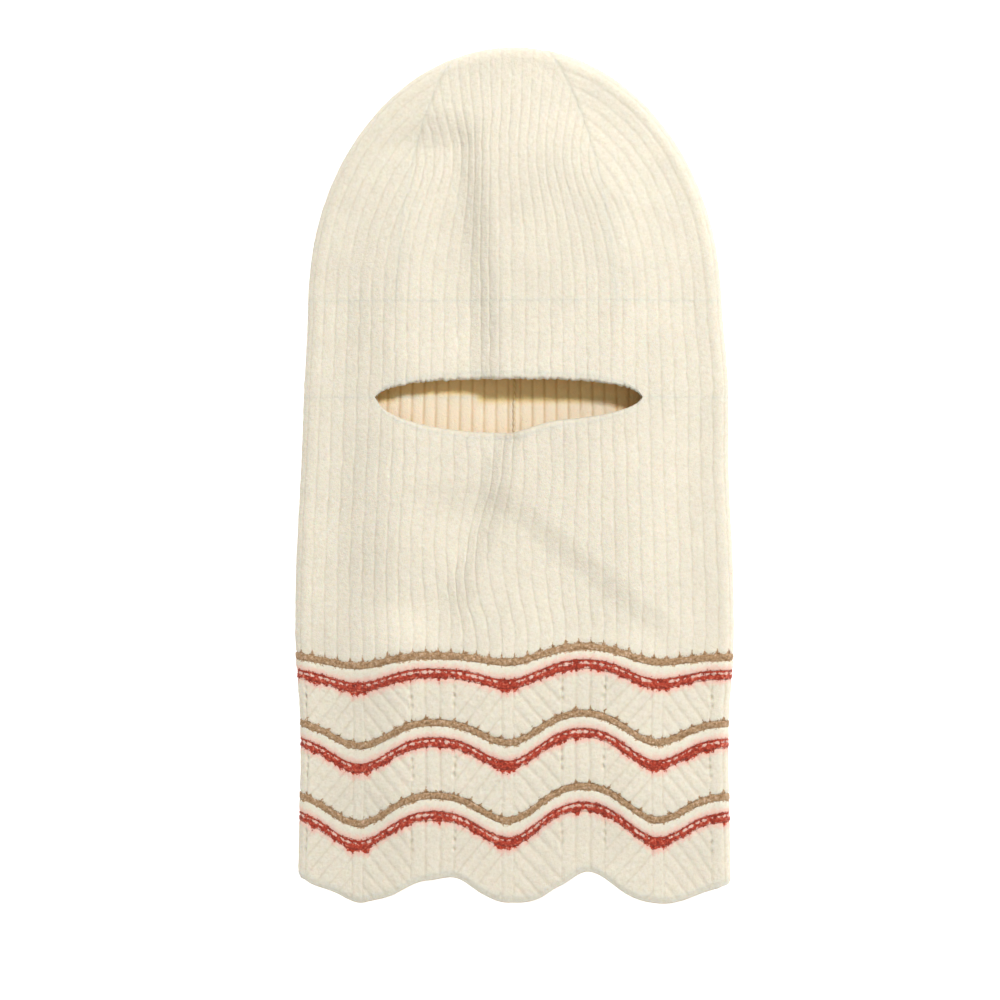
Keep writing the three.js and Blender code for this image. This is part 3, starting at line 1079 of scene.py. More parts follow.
@dataclass
class Hood:
    """The plain ribbed part: brow, face and the two edges of the eye slit."""

    shop: Workshop
    slit: Slit
    lower: Line  # top of the first tan ridge

    def ribs(self, way: Array, y: Array, low: Array, high: Array) -> Relief:
        """Plain ribs."""
        rib, pitch = self.shop.rib, self.shop.pitch
        phase = (way + rib.wobble(way, y)) / pitch
        far = undyed(way)
        across, behind = rib.across(phase), rib.across(phase + 0.5)
        depth = rib.drop(across, rib.plain) * rib.unevenness(way / pitch, y)
        outer = rib.brushed(depth, way, y)
        groove = rib.plain_shade * rib.shade(across) * rib.patchy(way, y)
        return Relief(outer, rib.drop(behind, rib.inner), groove, rib.shade(behind), far, far)

    def face_ribs(self, way: Array, y: Array, low: Array, high: Array) -> Relief:
        """Plain ribs with lobed ends over the first tan ridge."""
        base = self.ribs(way, y, low, high)
        rib = self.shop.rib
        above = y - self.lower(way)
        across = rib.across(way / self.shop.pitch)
        end = rib.end(above, rib.lobe)
        tan = rib.tan_border(way, y, above, across, Seed.RAGGED)
        # Painted shade round the ribs' rounded ends.
        groove = np.maximum(base.groove, 0.5 * end * across)
        return Relief(base.outer + 0.5 * end, base.inner, groove, base.inner_groove, tan, base.red)

    def painted_brow_shadow(self, way: Array, y: Array) -> Array:
        """Painted shadow: 1 on the back layer's lining above the slit's daylight, easing to 0
        below.
        """
        behind = np.sign(way) * (2.0 * self.shop.garment.flat
                                 + self.shop.garment.fold_length - np.abs(way))
        share = self.slit.share(self.shop.garment, behind)
        line = self.slit.y + eased(share, self.slit.shadow)
        return smooth((y - line) / 2.0 + 0.5) * (1.0 - self.shop.garment.front_share(way))

    def rim(self, upper: bool) -> Line:
        """Outer edge of a lip, or the slit's corner level beside it."""
        garment, slit = self.shop.garment, self.slit
        edge, sign = (slit.upper, 1.0) if upper else (slit.lower, -1.0)

        def line(way: Array) -> Array:
            """Height of the edge at a distance round the tube."""
            share = slit.share(garment, way)
            return np.where(np.abs(share) < 1.0, edge(share) + sign * slit.lip(share), slit.y)

        return line

    def brow(self) -> Band:
        """The ring from the slit up to the crown."""
        top = self.shop.garment.crown_y
        return Band(self.shop, "brow_rib_knit", self.rim(True), lambda way: np.full_like(way, top),
                    self.ribs, self.shop.rib_ways(RIB_STEPS), 42, 16, painted_lining_shadow=self.painted_brow_shadow)

    def face(self) -> Band:
        """The ring from the first tan ridge up to the slit."""
        return Band(self.shop, "face_rib_knit", self.lower, self.rim(False), self.face_ribs,
                    self.shop.rib_ways(RIB_STEPS), 108, 28, painted_lining_shadow=self.painted_brow_shadow)

    def lip(self, name: str, upper: bool) -> bpy.types.Object:
        """One bound edge of the slit, rolled towards the opening.

        Args:
            name: name of the piece.
            upper: whether it is the edge above the eyes.

        Returns:
            The piece, a shell with two closed ends.
        """
        garment, slit, shop = self.shop.garment, self.slit, self.shop
        share = np.sin(np.linspace(-0.5, 0.5, 361) * math.pi)
        way = slit.way(garment, share)[None, :]
        share = share[None, :]
        rows = 6
        up = np.concatenate([np.linspace(0, 1, rows), np.linspace(1, 0, rows)])[:, None]
        w = np.concatenate([np.zeros(rows), np.ones(rows)])[:, None]
        height = slit.lip(share)
        inner_line = slit.upper(share) if upper else slit.lower(share)
        tuft = 0.6 * lattice_noise(way, w * 3.0, 0.8, Seed.TUFT)
        tuft = tuft + 0.4 * lattice_noise(way, w, 2.2, Seed.TUFT_BROAD)
        tuft = tuft * (1.0 - up) * np.minimum(1.0, height / 2.0) * (1.0 if upper else 0.2)
        y = inner_line + (height * up if upper else -height * up) + tuft
        way_all = np.broadcast_to(way, y.shape)
        ribs = self.ribs(way_all, y, y, y)
        roll = shop.rib.end(up * height, 2.0) * (1.5 if upper else 1.2)
        depth = mix(ribs.outer + roll, garment.wall - ribs.inner - 0.8 * roll, w)
        points = garment.tube(way_all, y, depth)
        points = shop.drape.settle(points, garment.upper_share(way_all))
        # Painted shade: a dark line along the lower lip's edge, and painted shadow on both lips'
        # inner faces.
        rim = (0.0 if upper else 1.3) * (1.0 - up) ** 3
        groove = np.maximum(mix(ribs.groove, ribs.inner_groove, w), rim)
        marks = {"groove": groove, "tan": ribs.tan, "red": ribs.red,
                 "inner": np.broadcast_to(2.0 * w, y.shape)}
        return shop.shells.build(name, Patch(points, closed=False, marks=marks))

    def build(self) -> None:
        """Makes the four pieces."""
        bands = (self.brow(), self.face())
        rings = [band.build() for band in bands]
        lips = [self.lip("slit_upper_edge_knit", True), self.lip("slit_lower_edge_knit", False)]
        self.shop.place(rings[0], "brow_rib", "cream_rib", Finish.RIB)
        self.shop.place(rings[1], "face_rib", "cream_rib", Finish.BORDERED)
        for lip, node in zip(lips, ("slit_upper_edge", "slit_lower_edge")):
            self.shop.place(lip, node, "cream_edge", Finish.RIB)
        for band, ring, lip in zip(bands, rings, lips):
            band.flat_size()


@dataclass(frozen=True)
class StripeSizes:
    """Heights of the rows in a set of stripes."""

    tan_height: float = 4.2
    red_height: float = 6.0
    tan_yarn: float = 3.2  # what the brushed yarn shows of the ridge, from its lower edge
    red_yarn: float = 4.5  # what it shows of the red rows
    red_inset: float = 0.5  # from the rows' upper edge
    loop: tuple[float, float] = (1.15, 0.52)  # half width and half height of a cream loop
    loop_down: float = 1.5  # from the red yarn's upper edge
    loop_pitch: float = 0.56  # share of a rib's width
    eyelets: Stops = ((4.6, 0.6), (8.6, 1.0), (13.0, 0.8))  # (distance below the red, depth)


@dataclass
class StripeSet:
    """A tan ridge, a smooth cream roll, red rows and the fan-shaped ribs below them."""

    shop: Workshop
    number: int
    sizes: StripeSizes = StripeSizes()
    slant: float = 0.85  # of the fan's ribs, which leave an upright one like veins in a leaf
    fan_pitch: float = 7.85  # of the slanting ribs, measured across the mask
    spine: float = 2.8  # half width of the upright rib
    starts: tuple[float, float] = (-3.2, 0.4)  # first groove past it, on the left and right
    plateau: float = 10.75  # half width of the upright ribs on a crest
    foot: float = 4.4  # how far the red yarn reaches down from its upper edge

    def _wave(self, node: str, height: float) -> Line:
        """Middle line of a row, from its node's box."""
        low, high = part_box(f"{node}_{self.number}")
        level = (low[1] + high[1]) / 2.0 / MM
        return self.shop.garment.wave(level, (high[1] - low[1]) / MM - height)

    def tan_edge(self, share: float) -> Line:
        """A line across the tan ridge: 0 its lower edge, 1 its upper edge."""
        sizes = self.sizes
        middle = self._wave("tan_ridge", sizes.tan_height)
        return lambda way: middle(way) - sizes.tan_height / 2.0 + share * sizes.tan_yarn

    def red_edge(self, share: float) -> Line:
        """A line across the red rows: 0 their lower edge, 1 their upper edge."""
        sizes = self.sizes
        middle = self._wave("red_rows", sizes.red_height)
        top = sizes.red_height / 2.0 - sizes.red_inset
        return lambda way: middle(way) + top - (1.0 - share) * sizes.red_yarn

    def fan(self, way: Array, y: Array) -> tuple[Array, Array]:
        """How near the fan's grooves a point is, from 0 to 1, and its place from a trough."""
        garment, rib = self.shop.garment, self.shop.rib
        q = garment.from_trough(way)
        far = np.abs(q)
        edge = garment.scallop_length / 2.0 - self.plateau
        down = float(self.red_edge(0.0)(np.array(garment.scallop_x))) - y
        start = np.where(q < 0.0, *self.starts)
        veins = (far - self.spine - start - self.slant * down) / self.fan_pitch
        across = np.where(far < self.spine, (far / self.spine) ** 1.5, rib.across(veins))
        side = np.exp(-(((far - self.spine) / 0.9) ** 2)) * np.where(q < 0.0, 0.95, 0.8)
        across = np.maximum(across, side)
        upright = rib.across((far - edge) / (self.plateau / 1.5))
        return np.where(far < edge, across, upright), q

    def eyelets(self, q: Array, below: Array) -> Array:
        """Small open stitches along the crests' edges, as a depth share."""
        edge = self.shop.garment.scallop_length / 2.0 - self.plateau
        out = np.zeros_like(q)
        odd = 0.35 * np.sign(q)
        for k, (at, size) in enumerate(self.sizes.eyelets):
            away = np.hypot(np.abs(q) - edge - 0.3 * k, (below - at - odd) * 0.6)
            out = np.maximum(out, smooth((1.05 - away) / 0.85) * size)
        return out

    def trough_fill(self, q: Array) -> Array:
        """Extra depth of red in the troughs, which have a flat bottom."""
        return 1.2 * smooth((6.6 - np.abs(q)) / 1.6)

    def red_foot(self, way: Array, y: Array) -> Array:
        """Distance below the ragged lower edge of the red yarn, over both pieces it covers."""
        down = self.red_edge(1.0)(way) - y
        bent = way + 0.3 * lattice_noise(way, y, 4.0, Seed.FAN_BEND + self.number)
        across, q = self.fan(bent, y)
        nubs = 0.5 + 0.5 * np.cos(4.0 * math.pi * way / self.shop.pitch)
        ragged = 0.7 * lattice_noise(way, y * 0.5, 1.3, Seed.RAGGED + self.number)
        clumps = 0.9 * lattice_noise(way, np.zeros_like(y), 3.4, Seed.CLUMPS + self.number)
        teeth = 0.5 * nubs + 1.3 * across**8
        return down - self.foot + ragged - teeth + clumps - self.trough_fill(q)

    def fan_ribs(self, next_tan: Optional[Line]) -> Callable[..., Relief]:
        """Pattern of the fan band: its ribs, eyelets and dyed borders.

        Args:
            next_tan: upper edge of the next tan ridge, or None above the hem.

        Returns:
            The band's pattern.
        """
        rib = self.shop.rib
        red_line = self.red_edge(0.0)

        def pattern(way: Array, y: Array, low: Array, high: Array) -> Relief:
            """Relief at the band's points."""
            below = red_line(way) - y
            bent = way + 0.3 * lattice_noise(way, y, 4.0, Seed.FAN_BEND + self.number)
            across, q = self.fan(bent, y)
            outer = rib.drop(across, rib.outer) + 0.5 * rib.end(below, 2.0)
            holes = self.eyelets(q, below)
            # Painted shade in the grooves and, stronger, in the eyelets.
            shade = rib.fan_shade * rib.shade(across) * rib.patchy(way, y)
            groove = np.maximum(shade, holes * 1.6)
            outer = rib.brushed(outer + 1.2 * holes, way, y)
            red = self.red_foot(way, y)
            tan = undyed(way)
            if next_tan is not None:
                above = y - next_tan(way)
                end = rib.end(above, rib.lobe)
                outer = outer + 0.5 * end
                # Painted shade round the ribs' rounded ends.
                groove = np.maximum(groove, 0.5 * end * across)
                tan = rib.tan_border(way, y, above, across, Seed.RAGGED + self.number)
            behind = rib.across(way / self.shop.pitch + 0.5)
            inner = rib.drop(behind, rib.inner)
            return Relief(outer, inner, np.minimum(groove, 1.3), rib.shade(behind), tan, red)

        return pattern

    def tan_nubs(self, way: Array, y: Array, low: Array, high: Array) -> Relief:
        """A fuzzy ridge of purl bumps."""
        v = np.clip((y - low) / (high - low), 0.0, 1.0)
        swell = np.sqrt(np.clip(1.0 - (2.0 * v - 1.0) ** 2, 0.0, 1.0))
        nub = 0.5 + 0.5 * np.cos(2.0 * math.pi * way / (self.shop.pitch / 2.0))
        rough = lattice_noise(way, y, 1.2, Seed.TAN_NUBS + self.number)
        outer = 0.38 - 0.26 * swell - 0.16 * nub * swell + 0.4 * rough
        far = undyed(way)
        none = np.zeros(way.shape)
        # The groove value here is painted shade between the nubs.
        return Relief(outer, none + 0.3, np.clip(0.1 + rough, 0, 1) * 0.7, none, far, far)

    def roll(self, way: Array, y: Array, low: Array, high: Array) -> Relief:
        """A smooth rounded roll of plain knitting."""
        v = np.clip((y - low) / (high - low), 0.0, 1.0)
        swell = np.sqrt(np.clip(1.0 - np.abs(2.0 * v - 1.0) ** 2.2, 0.0, 1.0))
        tuck = 0.07 * np.cos(2.0 * math.pi * way / self.shop.pitch)
        outer = 0.42 - 0.5 * swell + tuck + 0.08 * lattice_noise(way, y, 1.9, Seed.ROLL)
        none = np.zeros(way.shape)
        ragged = 0.9 * lattice_noise(way, y * 0.4, 1.1, Seed.ROLL_EDGE + self.number)
        tan = high - y - 0.25 + ragged
        red = y - low - 0.15 + 0.8 * ragged
        return Relief(outer, none + 0.3, none + 0.04, none, tan, red)

    def red_chain(self, way: Array, y: Array, low: Array, high: Array) -> Relief:
        """A thin red line, a row of cream loops between red ones, and a ridge of red nubs."""
        down = high - y
        q = self.shop.garment.from_trough(way)
        sizes = self.sizes
        pitch = self.shop.pitch * sizes.loop_pitch
        wobble = 0.25 * lattice_noise(way, y, 4.0, Seed.CHAIN + self.number)
        cell = (way + wobble + 0.5 * down) / pitch
        u = (cell - np.floor(cell) - 0.5) * pitch
        half_width, half_height = sizes.loop
        loop = np.hypot(u / half_width, (down - sizes.loop_down - 0.14 * u) / half_height) - 1.0
        keep = smooth((np.abs(q) - 3.6) / 1.5)
        loop = loop + 0.8 * (1.0 - keep) + 0.75 * lattice_noise(way, y, 2.6, Seed.LOOPS)
        rough = lattice_noise(way, y, 1.5, Seed.RED_NUBS + self.number)
        nub_cell = (way + 0.4 * np.sin(y * 2.1)) / (self.shop.pitch / 2.0)
        nubs = 0.5 + 0.5 * np.cos(2.0 * math.pi * nub_cell)
        ridge = smooth((down - 1.9) / 0.8) * smooth((4.8 - down) / 1.0)
        line = np.exp(-(((down - 0.45) / 0.45) ** 2))
        bead = smooth(-loop / 0.6)
        outer = 0.6 - 0.34 * ridge - 0.25 * ridge * nubs - 0.26 * line - 0.3 * bead + 0.33 * rough
        # gap is painted shade between the red nubs, left off the cream loops.
        gap = np.clip(0.15 + rough, 0.0, 1.0)
        red = np.maximum(self.red_foot(way, y), -1.1 * loop)
        none = np.zeros(way.shape)
        return Relief(outer, none + 0.3, gap * (1.0 - bead), none, undyed(way), red)

    def _row(
        self, node: str, lower: Line, upper: Line, pattern: Callable[..., Relief],
        spacing: float, rows: int, inner_rows: int = 3,
    ) -> Band:
        """A ring of this set, with its columns evenly spaced."""
        return Band(self.shop, f"{node}_{self.number}_knit", lower, upper, pattern,
                    self.shop.even_ways(spacing), rows, inner_rows)

    def build(
        self, bottom: Line, next_tan: Optional[Line], extra: Sequence[bpy.types.Object] = ()
    ) -> None:
        """Makes the set's four pieces.

        Args:
            bottom: lower edge of the fan band.
            next_tan: upper edge of the next tan ridge, or None above the hem.
            extra: finished pieces that hang on the fan band; not used.
        """
        foot, neck, ridge = self.red_edge(0.0), self.red_edge(1.0), self.tan_edge(0.0)
        fan = self._row("fan_band", bottom, foot, self.fan_ribs(next_tan), 0.58, 34, 8)
        bands = (
            (self._row("tan_ridge", ridge, self.tan_edge(1.0), self.tan_nubs, 0.62, 9),
             "tan_yarn", Finish.TAN),
            (self._row("cream_roll", neck, ridge, self.roll, 0.8, 10), "cream_roll", Finish.ROLL),
            (self._row("red_rows", foot, neck, self.red_chain, 0.42, 16), "red_yarn", Finish.RED),
            (fan, "cream_rib", Finish.BORDERED),
        )
        made = []
        for band, slot, finish in bands:
            made.append(band.build())
            self.shop.place(made[-1], band.name.removesuffix("_knit"), slot, finish)
        fan.flat_size()
        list(made[:-1])


@dataclass
class Hem:
    """The soft rolled cast-on edge along the scallops."""

    shop: Workshop
    last: StripeSet
    height: float = 3.2
    wave: float = 14.2
    sag: Stops = (  # how the front's scallops hang, place by place
        (-98, 0.0), (-85, -2.4), (-72, -0.8), (-57, 2.8), (-42, 1.0), (-28, -1.6), (-16, 0.4),
        (-3, 0.5), (15, 6.4), (22, 6.0), (36, 1.2), (52, 4.2), (68, 1.0), (84, 3.2), (106, 0.0),
    )

    def line(self) -> Line:
        """Lowest line of the mask."""
        low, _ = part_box("hem_cast_on_edge")
        even = self.shop.garment.wave(low[1] / MM + self.wave / 2.0, self.wave)
        return lambda way: even(way) - eased(way, self.sag)

    def top(self) -> Line:
        """Upper line of the edge, where the last fan band ends."""
        line = self.line()
        return lambda way: line(way) + self.height

    def build(self) -> bpy.types.Object:
        """Makes the edge."""
        shop = self.shop
        fan = self.last.fan_ribs(None)

        def pattern(way: Array, y: Array, low: Array, high: Array) -> Relief:
            """The fan's ribs, dying out as the edge rolls under."""
            ribs = fan(way, y, low, high)
            ease = smooth((y - low) / self.height)
            fade = mix(0.75, ribs.outer, ease)
            return Relief(fade + 0.7 * (1.0 - ease), ribs.inner, ribs.groove * ease,
                          ribs.inner_groove, ribs.tan, ribs.red)

        edge = Band(shop, "hem_cast_on_edge_knit", self.line(), self.top(), pattern,
                    shop.even_ways(0.58), 6, 3, rolled=True)
        made = edge.build()
        shop.place(made, "hem_cast_on_edge", "cream_edge", Finish.RIB)
        return made


@dataclass
class Crown:
    """The five gores and the gathered tip."""

    shop: Workshop
    left_x: float = -58.0
    right_x: float = 50.0
    left_bend: tuple[float, float] = (-54.0, 108.0)
    right_bend: tuple[float, float] = (42.0, 108.0)
    tip_x: float = -4.5
    tip_size: float = 9.0
    tip_past_edge: float = 21.0
    straight: float = 68.0  # height of the gore lines' plain start
    bend_ease: float = 6.0  # how gently the ribs turn from upright to leaning there
    spread: float = 0.35
    top_calm: float = 0.6  # how much the ribs smooth out at the very top
    rows: int = 136  # of a gore's grid
    cuts: dict[str, tuple[float, float, float]] = field(default_factory=dict)

    def tip_angle(self, x: float) -> float:
        """Crown angle of the tip's points at one x."""
        garment = self.shop.garment
        inset = self.tip_past_edge - garment.fold_length + 2.0 * garment.edge_radius
        reach = garment.crown_half_width * (1.0 - inset / garment.crown_height)
        return math.acos(x / reach)

    def tip_around(self, end: int) -> float:
        """Way round the fold of the tip's first (-1) or last (1) edge."""
        garment = self.shop.garment
        past = self.tip_past_edge + end * self.tip_size / 2.0
        return garment.fold_length / 2.0 - garment.edge_radius - past

    def tip_corner(self, x: float, layer: Layer) -> Array:
        """Flat pattern point of a corner of the tip."""
        around = self.tip_around(-1 if layer is Layer.UPPER else 1)
        angle = np.array(self.tip_angle(x))
        return self.shop.garment.crown_flat(angle, np.array(around), layer)

    def line(self, base: float, bend: tuple[float, float], tip: Array, v: Array) -> Array:
        """A gore line from the crown's base to the tip, at shares v of it."""
        start = np.array([base, 0.0])
        k = v[..., None]
        return (1 - k) ** 2 * start + 2 * k * (1 - k) * np.array(bend) + k**2 * tip

    def side_line(self, side: Side, layer: Layer, v: Array) -> Array:
        """One of the four lines beside the side gores."""
        offset = side.value * self.tip_size / 2.0
        tip = self.tip_corner(self.tip_x + offset, layer)
        if side is Side.LEFT:
            return self.line(self.left_x, self.left_bend, tip, v)
        return self.line(self.right_x, self.right_bend, tip, v)

    def seam_line(self, v: Array) -> Array:
        """The line up the middle of the back."""
        tip = self.tip_corner(self.tip_x, Layer.LOWER)
        return self.line(0.0, (0.0, self.shop.garment.crown_height / 2.0), tip, v)

    def side_phase(self, around: Array) -> Array:
        """Phase of the side gores' ribs, which run alongside the outline."""
        garment = self.shop.garment
        half_fold = garment.fold_length / 2.0
        crown_flat = garment.crown_half_width - garment.edge_radius
        past = np.maximum(np.abs(around) - half_fold, 0.0) * garment.flat / crown_flat
        upper = garment.flat - past + (half_fold - np.clip(around, -half_fold, half_fold))
        lower = garment.flat + garment.fold_length + past
        return np.where(around > -half_fold, upper, lower) / self.shop.pitch

    def line_at(self, side: Side, layer: Layer, height: Array) -> Array:
        """x of a side gore's line at a height above the crown's base."""
        v = np.linspace(0.0, 1.0, 200)
        points = self.side_line(side, layer, v)
        rising = np.maximum.accumulate(points[:, 1] + np.arange(200) * 1e-6)
        return np.interp(height, rising, points[:, 0])

    def phase_on_line(self, side: Side, layer: Layer, height: Array) -> Array:
        """Phase of the side gore's ribs where they meet its line."""
        x = self.line_at(side, layer, height)
        _, around = self.shop.garment.crown_place(np.stack([x, height], axis=-1), layer)
        return side.value * self.side_phase(around)

    def middle_phase(self, flat: Array, layer: Layer) -> Array:
        """Phase of the ribs between the lines, which lean out and are taken in at them."""
        x, height = flat[..., 0], flat[..., 1]
        over = np.clip((height - self.straight) / self.bend_ease, -40.0, 40.0)
        low = height - self.bend_ease * np.log1p(np.exp(over))
        left, right = (self.line_at(s, layer, low) for s in Side)
        start, stop = (self.phase_on_line(s, layer, low) for s in Side)
        pitch = (right - left) / (stop - start)
        lean = 1.0 + self.spread * smooth((height - self.straight + 12.0) / 70.0)
        share = (x - (left + right) / 2.0) / (pitch * lean)
        return (start + stop) / 2.0 + share

    def drop_at_line(self, distance: Array, height: Array) -> Array:
        """A narrow dip along a gore line, from where stitches are first taken in."""
        strength = smooth((height - self.straight + 12.0) / 16.0)
        return strength * np.exp(-((distance / 1.3) ** 2))

    def _shell(
        self, name: str, angle: Array, around: Array, phase: Array, dip: Array
    ) -> bpy.types.Object:
        """Makes a gore from its grids on the crown.

        Args:
            name: name of the piece.
            angle: crown angle of each point.
            around: way round the edge fold of each point.
            phase: phase of the ribs.
            dip: how much the surface sinks beside a gore line, 0 to 1.

        Returns:
            The piece, whose flat cut is kept in cuts.
        """
        shop, garment, rib = self.shop, self.shop.garment, self.shop.rib
        base = garment.crown(angle, around, np.zeros_like(angle))
        way, y = phase * shop.pitch, base[..., 1]
        wobble = rib.wobble(way, y) / shop.pitch
        across, behind = rib.across(phase + wobble), rib.across(phase + 0.5)
        calm = 1.0 - self.top_calm * smooth((y - garment.top_y + 26.0) / 22.0)
        depth = rib.drop(across, rib.plain) * rib.unevenness(phase, y) * calm
        outer = rib.brushed(depth, way, y) + 0.3 * dip
        outer = np.where(around < 0.0, np.maximum(outer, 0.0), outer)
        inner = garment.wall - rib.drop(behind, rib.inner)
        share = smooth((around - garment.fold_length / 2.0) / 18.0)
        faces = [shop.drape.settle(garment.crown(angle, around, depth), share)
                 for depth in (outer, inner)]
        # Painted shade in the grooves and along the dips at the gore lines.
        shade = rib.plain_shade * rib.shade(across) * rib.patchy(way, y) * calm
        groove = np.maximum(shade, 0.5 * dip * rib.patchy(way, y))
        points = wrapped(*faces)
        far = undyed(points[..., 0])
        # The upper layer's lining gets painted shadow.
        marks = {"groove": wrapped(groove, rib.shade(behind)), "tan": far, "red": far,
                 "inner": wrapped(np.zeros_like(angle), 1.0 + share)}
        self.cuts[name] = self._cut(base)
        return shop.shells.build(name, Patch(points, closed=False, marks=marks))

    @staticmethod
    def _cut(points: Array) -> tuple[float, float, float]:
        """Width, length and area of the flat cut of a gore, in metres and square metres."""
        across = np.linalg.norm(np.diff(points, axis=1), axis=-1)
        up = np.linalg.norm(np.diff(points, axis=0), axis=-1)
        area = float((across[:-1] * up[:, :-1]).sum())
        width, length = float(across.sum(axis=1).max()), float(up.sum(axis=0).max())
        return width * MM, length * MM, min(area, width * length) * MM * MM

    def side_gore(self, side: Side, columns: int) -> bpy.types.Object:
        """A gore that wraps over one side."""
        v = np.linspace(0.0, 1.0, self.rows)
        place = self.shop.garment.crown_place
        upper = place(self.side_line(side, Layer.UPPER, v), Layer.UPPER)
        lower = place(self.side_line(side, Layer.LOWER, v), Layer.LOWER)
        first, second = (lower, upper) if side is Side.LEFT else (upper, lower)
        u = np.linspace(0.0, 1.0, columns)[None, :]
        angle = mix(first[0][:, None], second[0][:, None], u)
        around = mix(first[1][:, None], second[1][:, None], u)
        ends = np.abs(np.stack([around - upper[1][:, None], around - lower[1][:, None]]))
        height = np.broadcast_to(self.side_line(side, Layer.UPPER, v)[:, 1][:, None], angle.shape)
        dip = self.drop_at_line(ends.min(axis=0), height)
        phase = self.side_phase(around)
        return self._shell(f"crown_gore_{side.name.lower()}_knit", angle, around, phase, dip)

    def middle_gore(
        self, name: str, layer: Layer, first: Array, second: Array, columns: int
    ) -> bpy.types.Object:
        """A gore between two lines on one layer."""
        u = np.linspace(0.0, 1.0, columns)[None, :, None]
        flat = mix(first[:, None, :], second[:, None, :], u)
        angle, around = self.shop.garment.crown_place(flat, layer)
        away = [np.abs(flat[..., 0] - edge[:, None, 0]) for edge in (first, second)]
        dip = self.drop_at_line(np.minimum(*away), flat[..., 1])
        return self._shell(name, angle, around, self.middle_phase(flat, layer), dip)

    def tip(self) -> bpy.types.Object:
        """The drawn-together stitches behind the top."""
        v = np.linspace(self.tip_around(-1), self.tip_around(1), 24)[:, None]
        half = self.tip_size / 2.0
        angles = np.linspace(self.tip_angle(self.tip_x - half),
                             self.tip_angle(self.tip_x + half), 24)[None, :]
        angle, around = np.broadcast_to(angles, (24, 24)), np.broadcast_to(v, (24, 24))
        x = np.linspace(-1.0, 1.0, 24)[None, :]
        y = np.linspace(-1.0, 1.0, 24)[:, None]
        petals = np.arctan2(y, x) * 8.0 / (2.0 * math.pi) + 0.5
        dip = np.exp(-((np.hypot(x, y) / 0.28) ** 2))
        return self._shell("crown_gathered_tip_knit", angle, around, petals, dip)

    def build(self) -> None:
        """Makes the six pieces."""
        v = np.linspace(0.0, 1.0, self.rows)
        seam = self.seam_line(v)
        left, right = (self.side_line(side, Layer.UPPER, v) for side in Side)
        back_left, back_right = (self.side_line(side, Layer.LOWER, v) for side in Side)
        gores = (
            self.middle_gore("crown_gore_front_knit", Layer.UPPER, left, right, 250),
            self.side_gore(Side.LEFT, 200),
            self.side_gore(Side.RIGHT, 210),
            self.middle_gore("crown_gore_back_left_knit", Layer.LOWER, seam, back_left, 90),
            self.middle_gore("crown_gore_back_right_knit", Layer.LOWER, back_right, seam, 80),
        )
        tip = self.tip()
        for piece in (*gores, tip):
            self.shop.place(piece, piece.name.removesuffix("_knit"), "cream_rib", Finish.RIB)
        for gore in gores:
            width, length, area = self.cuts[gore.name]


@dataclass
class BackSeam:
    """The linking seam inside the back layer: a narrow ridge of joined loops."""

    shop: Workshop
    crown: Crown
    lit_y: float  # level below which the slit lets light in
    width: float = 1.5
    height: float = 0.7
    stitch: float = 3.2
    lean: float = 0.16  # of its stitches to each side
    clearance: float = 0.3  # over the back layer

    def build(self) -> None:
        """Makes the ridge."""
        low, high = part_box("centre_back_seam")
        garment = self.shop.garment
        y = np.arange(low[1] / MM, high[1] / MM, 0.7)
        share = np.clip((y - garment.crown_y) / (high[1] / MM - garment.crown_y), 0.0, 1.0)
        middle = self.crown.seam_line(share)[:, 0]
        turn = np.linspace(-math.pi / 2.0, 1.5 * math.pi, 16, endpoint=False)
        across, up = np.sin(turn), np.cos(turn)
        twist = np.cos(2.0 * math.pi * y / self.stitch)
        half = self.width / 2.0 * (0.82 + 0.18 * twist)
        lean = self.lean * np.sin(2.0 * math.pi * y / self.stitch)
        x = middle[None, :] + lean + across[:, None] * half
        base = garment.wall + self.clearance
        rise = self.height * (0.5 + 0.5 * up[:, None] * (0.8 + 0.2 * twist[None, :]))
        z = base + rise
        points = np.stack([x, np.broadcast_to(y, x.shape), np.broadcast_to(z, x.shape)], axis=-1)
        # Painted shade between the seam's stitches, and painted shadow on it above lit_y.
        gap = np.broadcast_to(0.75 - 0.25 * twist[None, :], x.shape)
        marks = {"groove": gap, "tan": undyed(x), "red": undyed(x),
                 "inner": np.broadcast_to(1.0 + smooth((y - self.lit_y) / 2.0 + 0.5), x.shape)}
        made = self.shop.shells.build("centre_back_seam_yarn", Patch(points, False, marks))
        self.shop.place(made, "centre_back_seam", "seam_yarn", Finish.RIB)


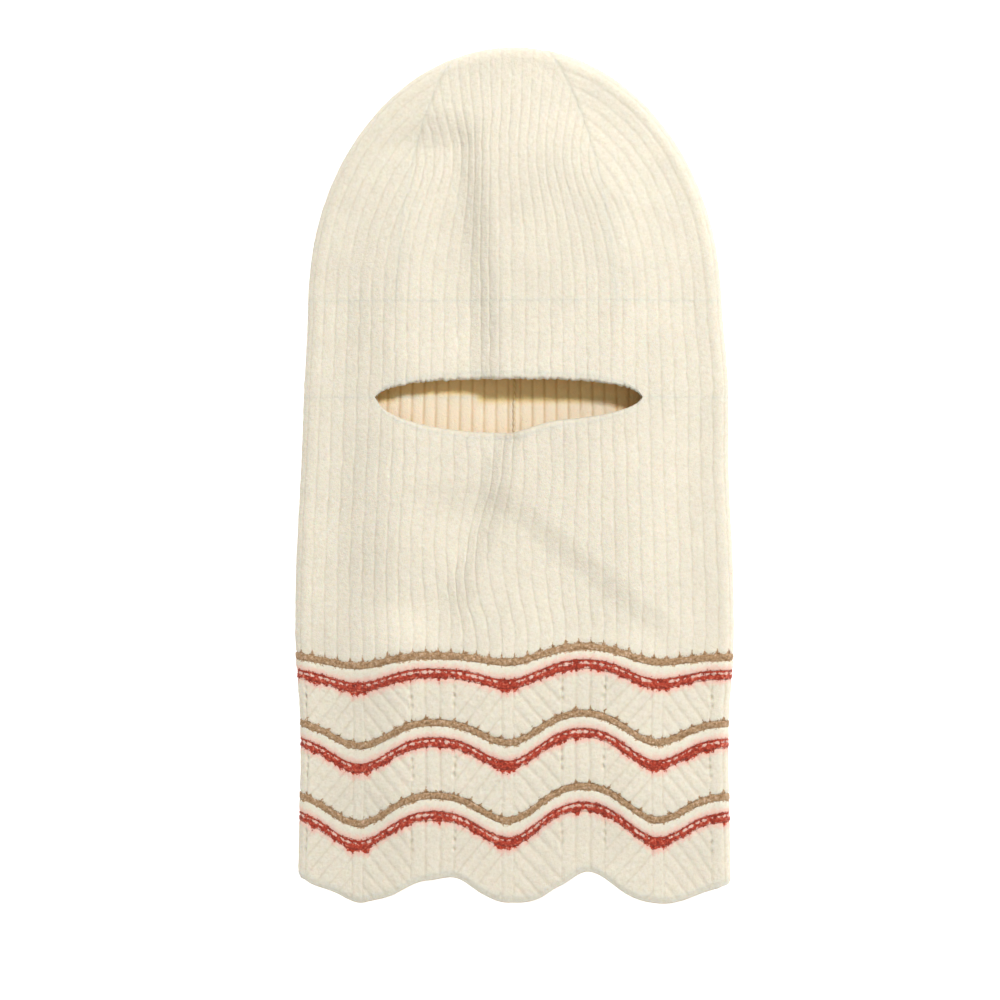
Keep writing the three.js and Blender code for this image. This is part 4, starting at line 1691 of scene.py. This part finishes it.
@dataclass
class Studio:
    """A pale floor, soft light and a camera straight above."""

    width: float = 0.489  # of what the camera sees at the mask's face
    lens: float = 110.0
    sensor: float = 36.0
    aim: tuple[float, float] = (-0.0071, -0.0127)
    face_z: float = 0.016
    key: float = 68.0  # watts
    key_lean: tuple[float, float] = (0.46, 0.60)
    key_away: float = 3.0
    key_size: float = 0.48
    fill: float = 0.50
    floor_size: float = 6.0
    floor_gap: float = 0.0003  # under the mask

    def floor(self) -> None:
        """Lays the floor."""
        bpy.ops.mesh.primitive_plane_add(size=self.floor_size, location=(0.0, 0.0, -self.floor_gap))
        floor = bpy.context.object
        floor.name = "studio_floor"
        floor.data.materials.append(Paper().material())
        floor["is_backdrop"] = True

    def lights(self) -> None:
        """One soft key light from the upper right and an even white fill."""
        lamp = bpy.data.lights.new("key", "AREA")
        lamp.shape, lamp.size, lamp.energy = "DISK", self.key_size, self.key
        key = linked("key", lamp)
        towards = Vector((*self.key_lean, 1.0)).normalized()
        key.location = towards * self.key_away
        key.rotation_euler = towards.to_track_quat("Z", "Y").to_euler()
        world = bpy.data.worlds.new("studio")
        world.use_nodes = True
        back = world.node_tree.nodes["Background"]
        back.inputs["Color"].default_value = (1.0, 0.995, 0.985, 1.0)
        back.inputs["Strength"].default_value = self.fill
        bpy.context.scene.world = world

    def camera(self) -> None:
        """Puts the camera above the mask, looking straight down."""
        lens = bpy.data.cameras.new("camera")
        lens.lens, lens.sensor_width = self.lens, self.sensor
        lens.dof.use_dof = False
        eye = linked("camera", lens)
        eye.location = (*self.aim, self.face_z + self.width * self.lens / self.sensor)
        bpy.context.scene.camera = eye

    def build(self) -> None:
        """Sets the studio up."""
        self.floor()
        self.lights()
        self.camera()
        bpy.context.scene.view_settings.view_transform = "Standard"


def main() -> None:
    """Builds the mask and the studio."""
    logging.basicConfig(level=logging.INFO, format="%(name)s %(message)s")
    cad_low, cad_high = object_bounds()
    slit = Slit()
    drape = Drape(slit_box=(slit.x, slit.width / 2.0, slit.y))
    shop = Workshop(Garment(top_y=cad_high[1] / MM), drape, Rib())
    sets = [StripeSet(shop, n) for n in (1, 2, 3)]
    crown = Crown(shop)
    crown.build()
    Hood(shop, slit, sets[0].tan_edge(1.0)).build()
    hem = Hem(shop, sets[-1])
    edge = hem.build()
    for stripes, after in zip(sets, sets[1:]):
        stripes.build(after.tan_edge(1.0), after.tan_edge(1.0))
    sets[-1].build(hem.top(), None, [edge])
    BackSeam(shop, crown, slit.y - slit.lit_below).build()
    Studio().build()
    low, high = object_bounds()
    LOG.info("%d ribs round, box %s to %s", shop.rib.count, list(low), list(high))


if __name__ == "__main__":
    main()
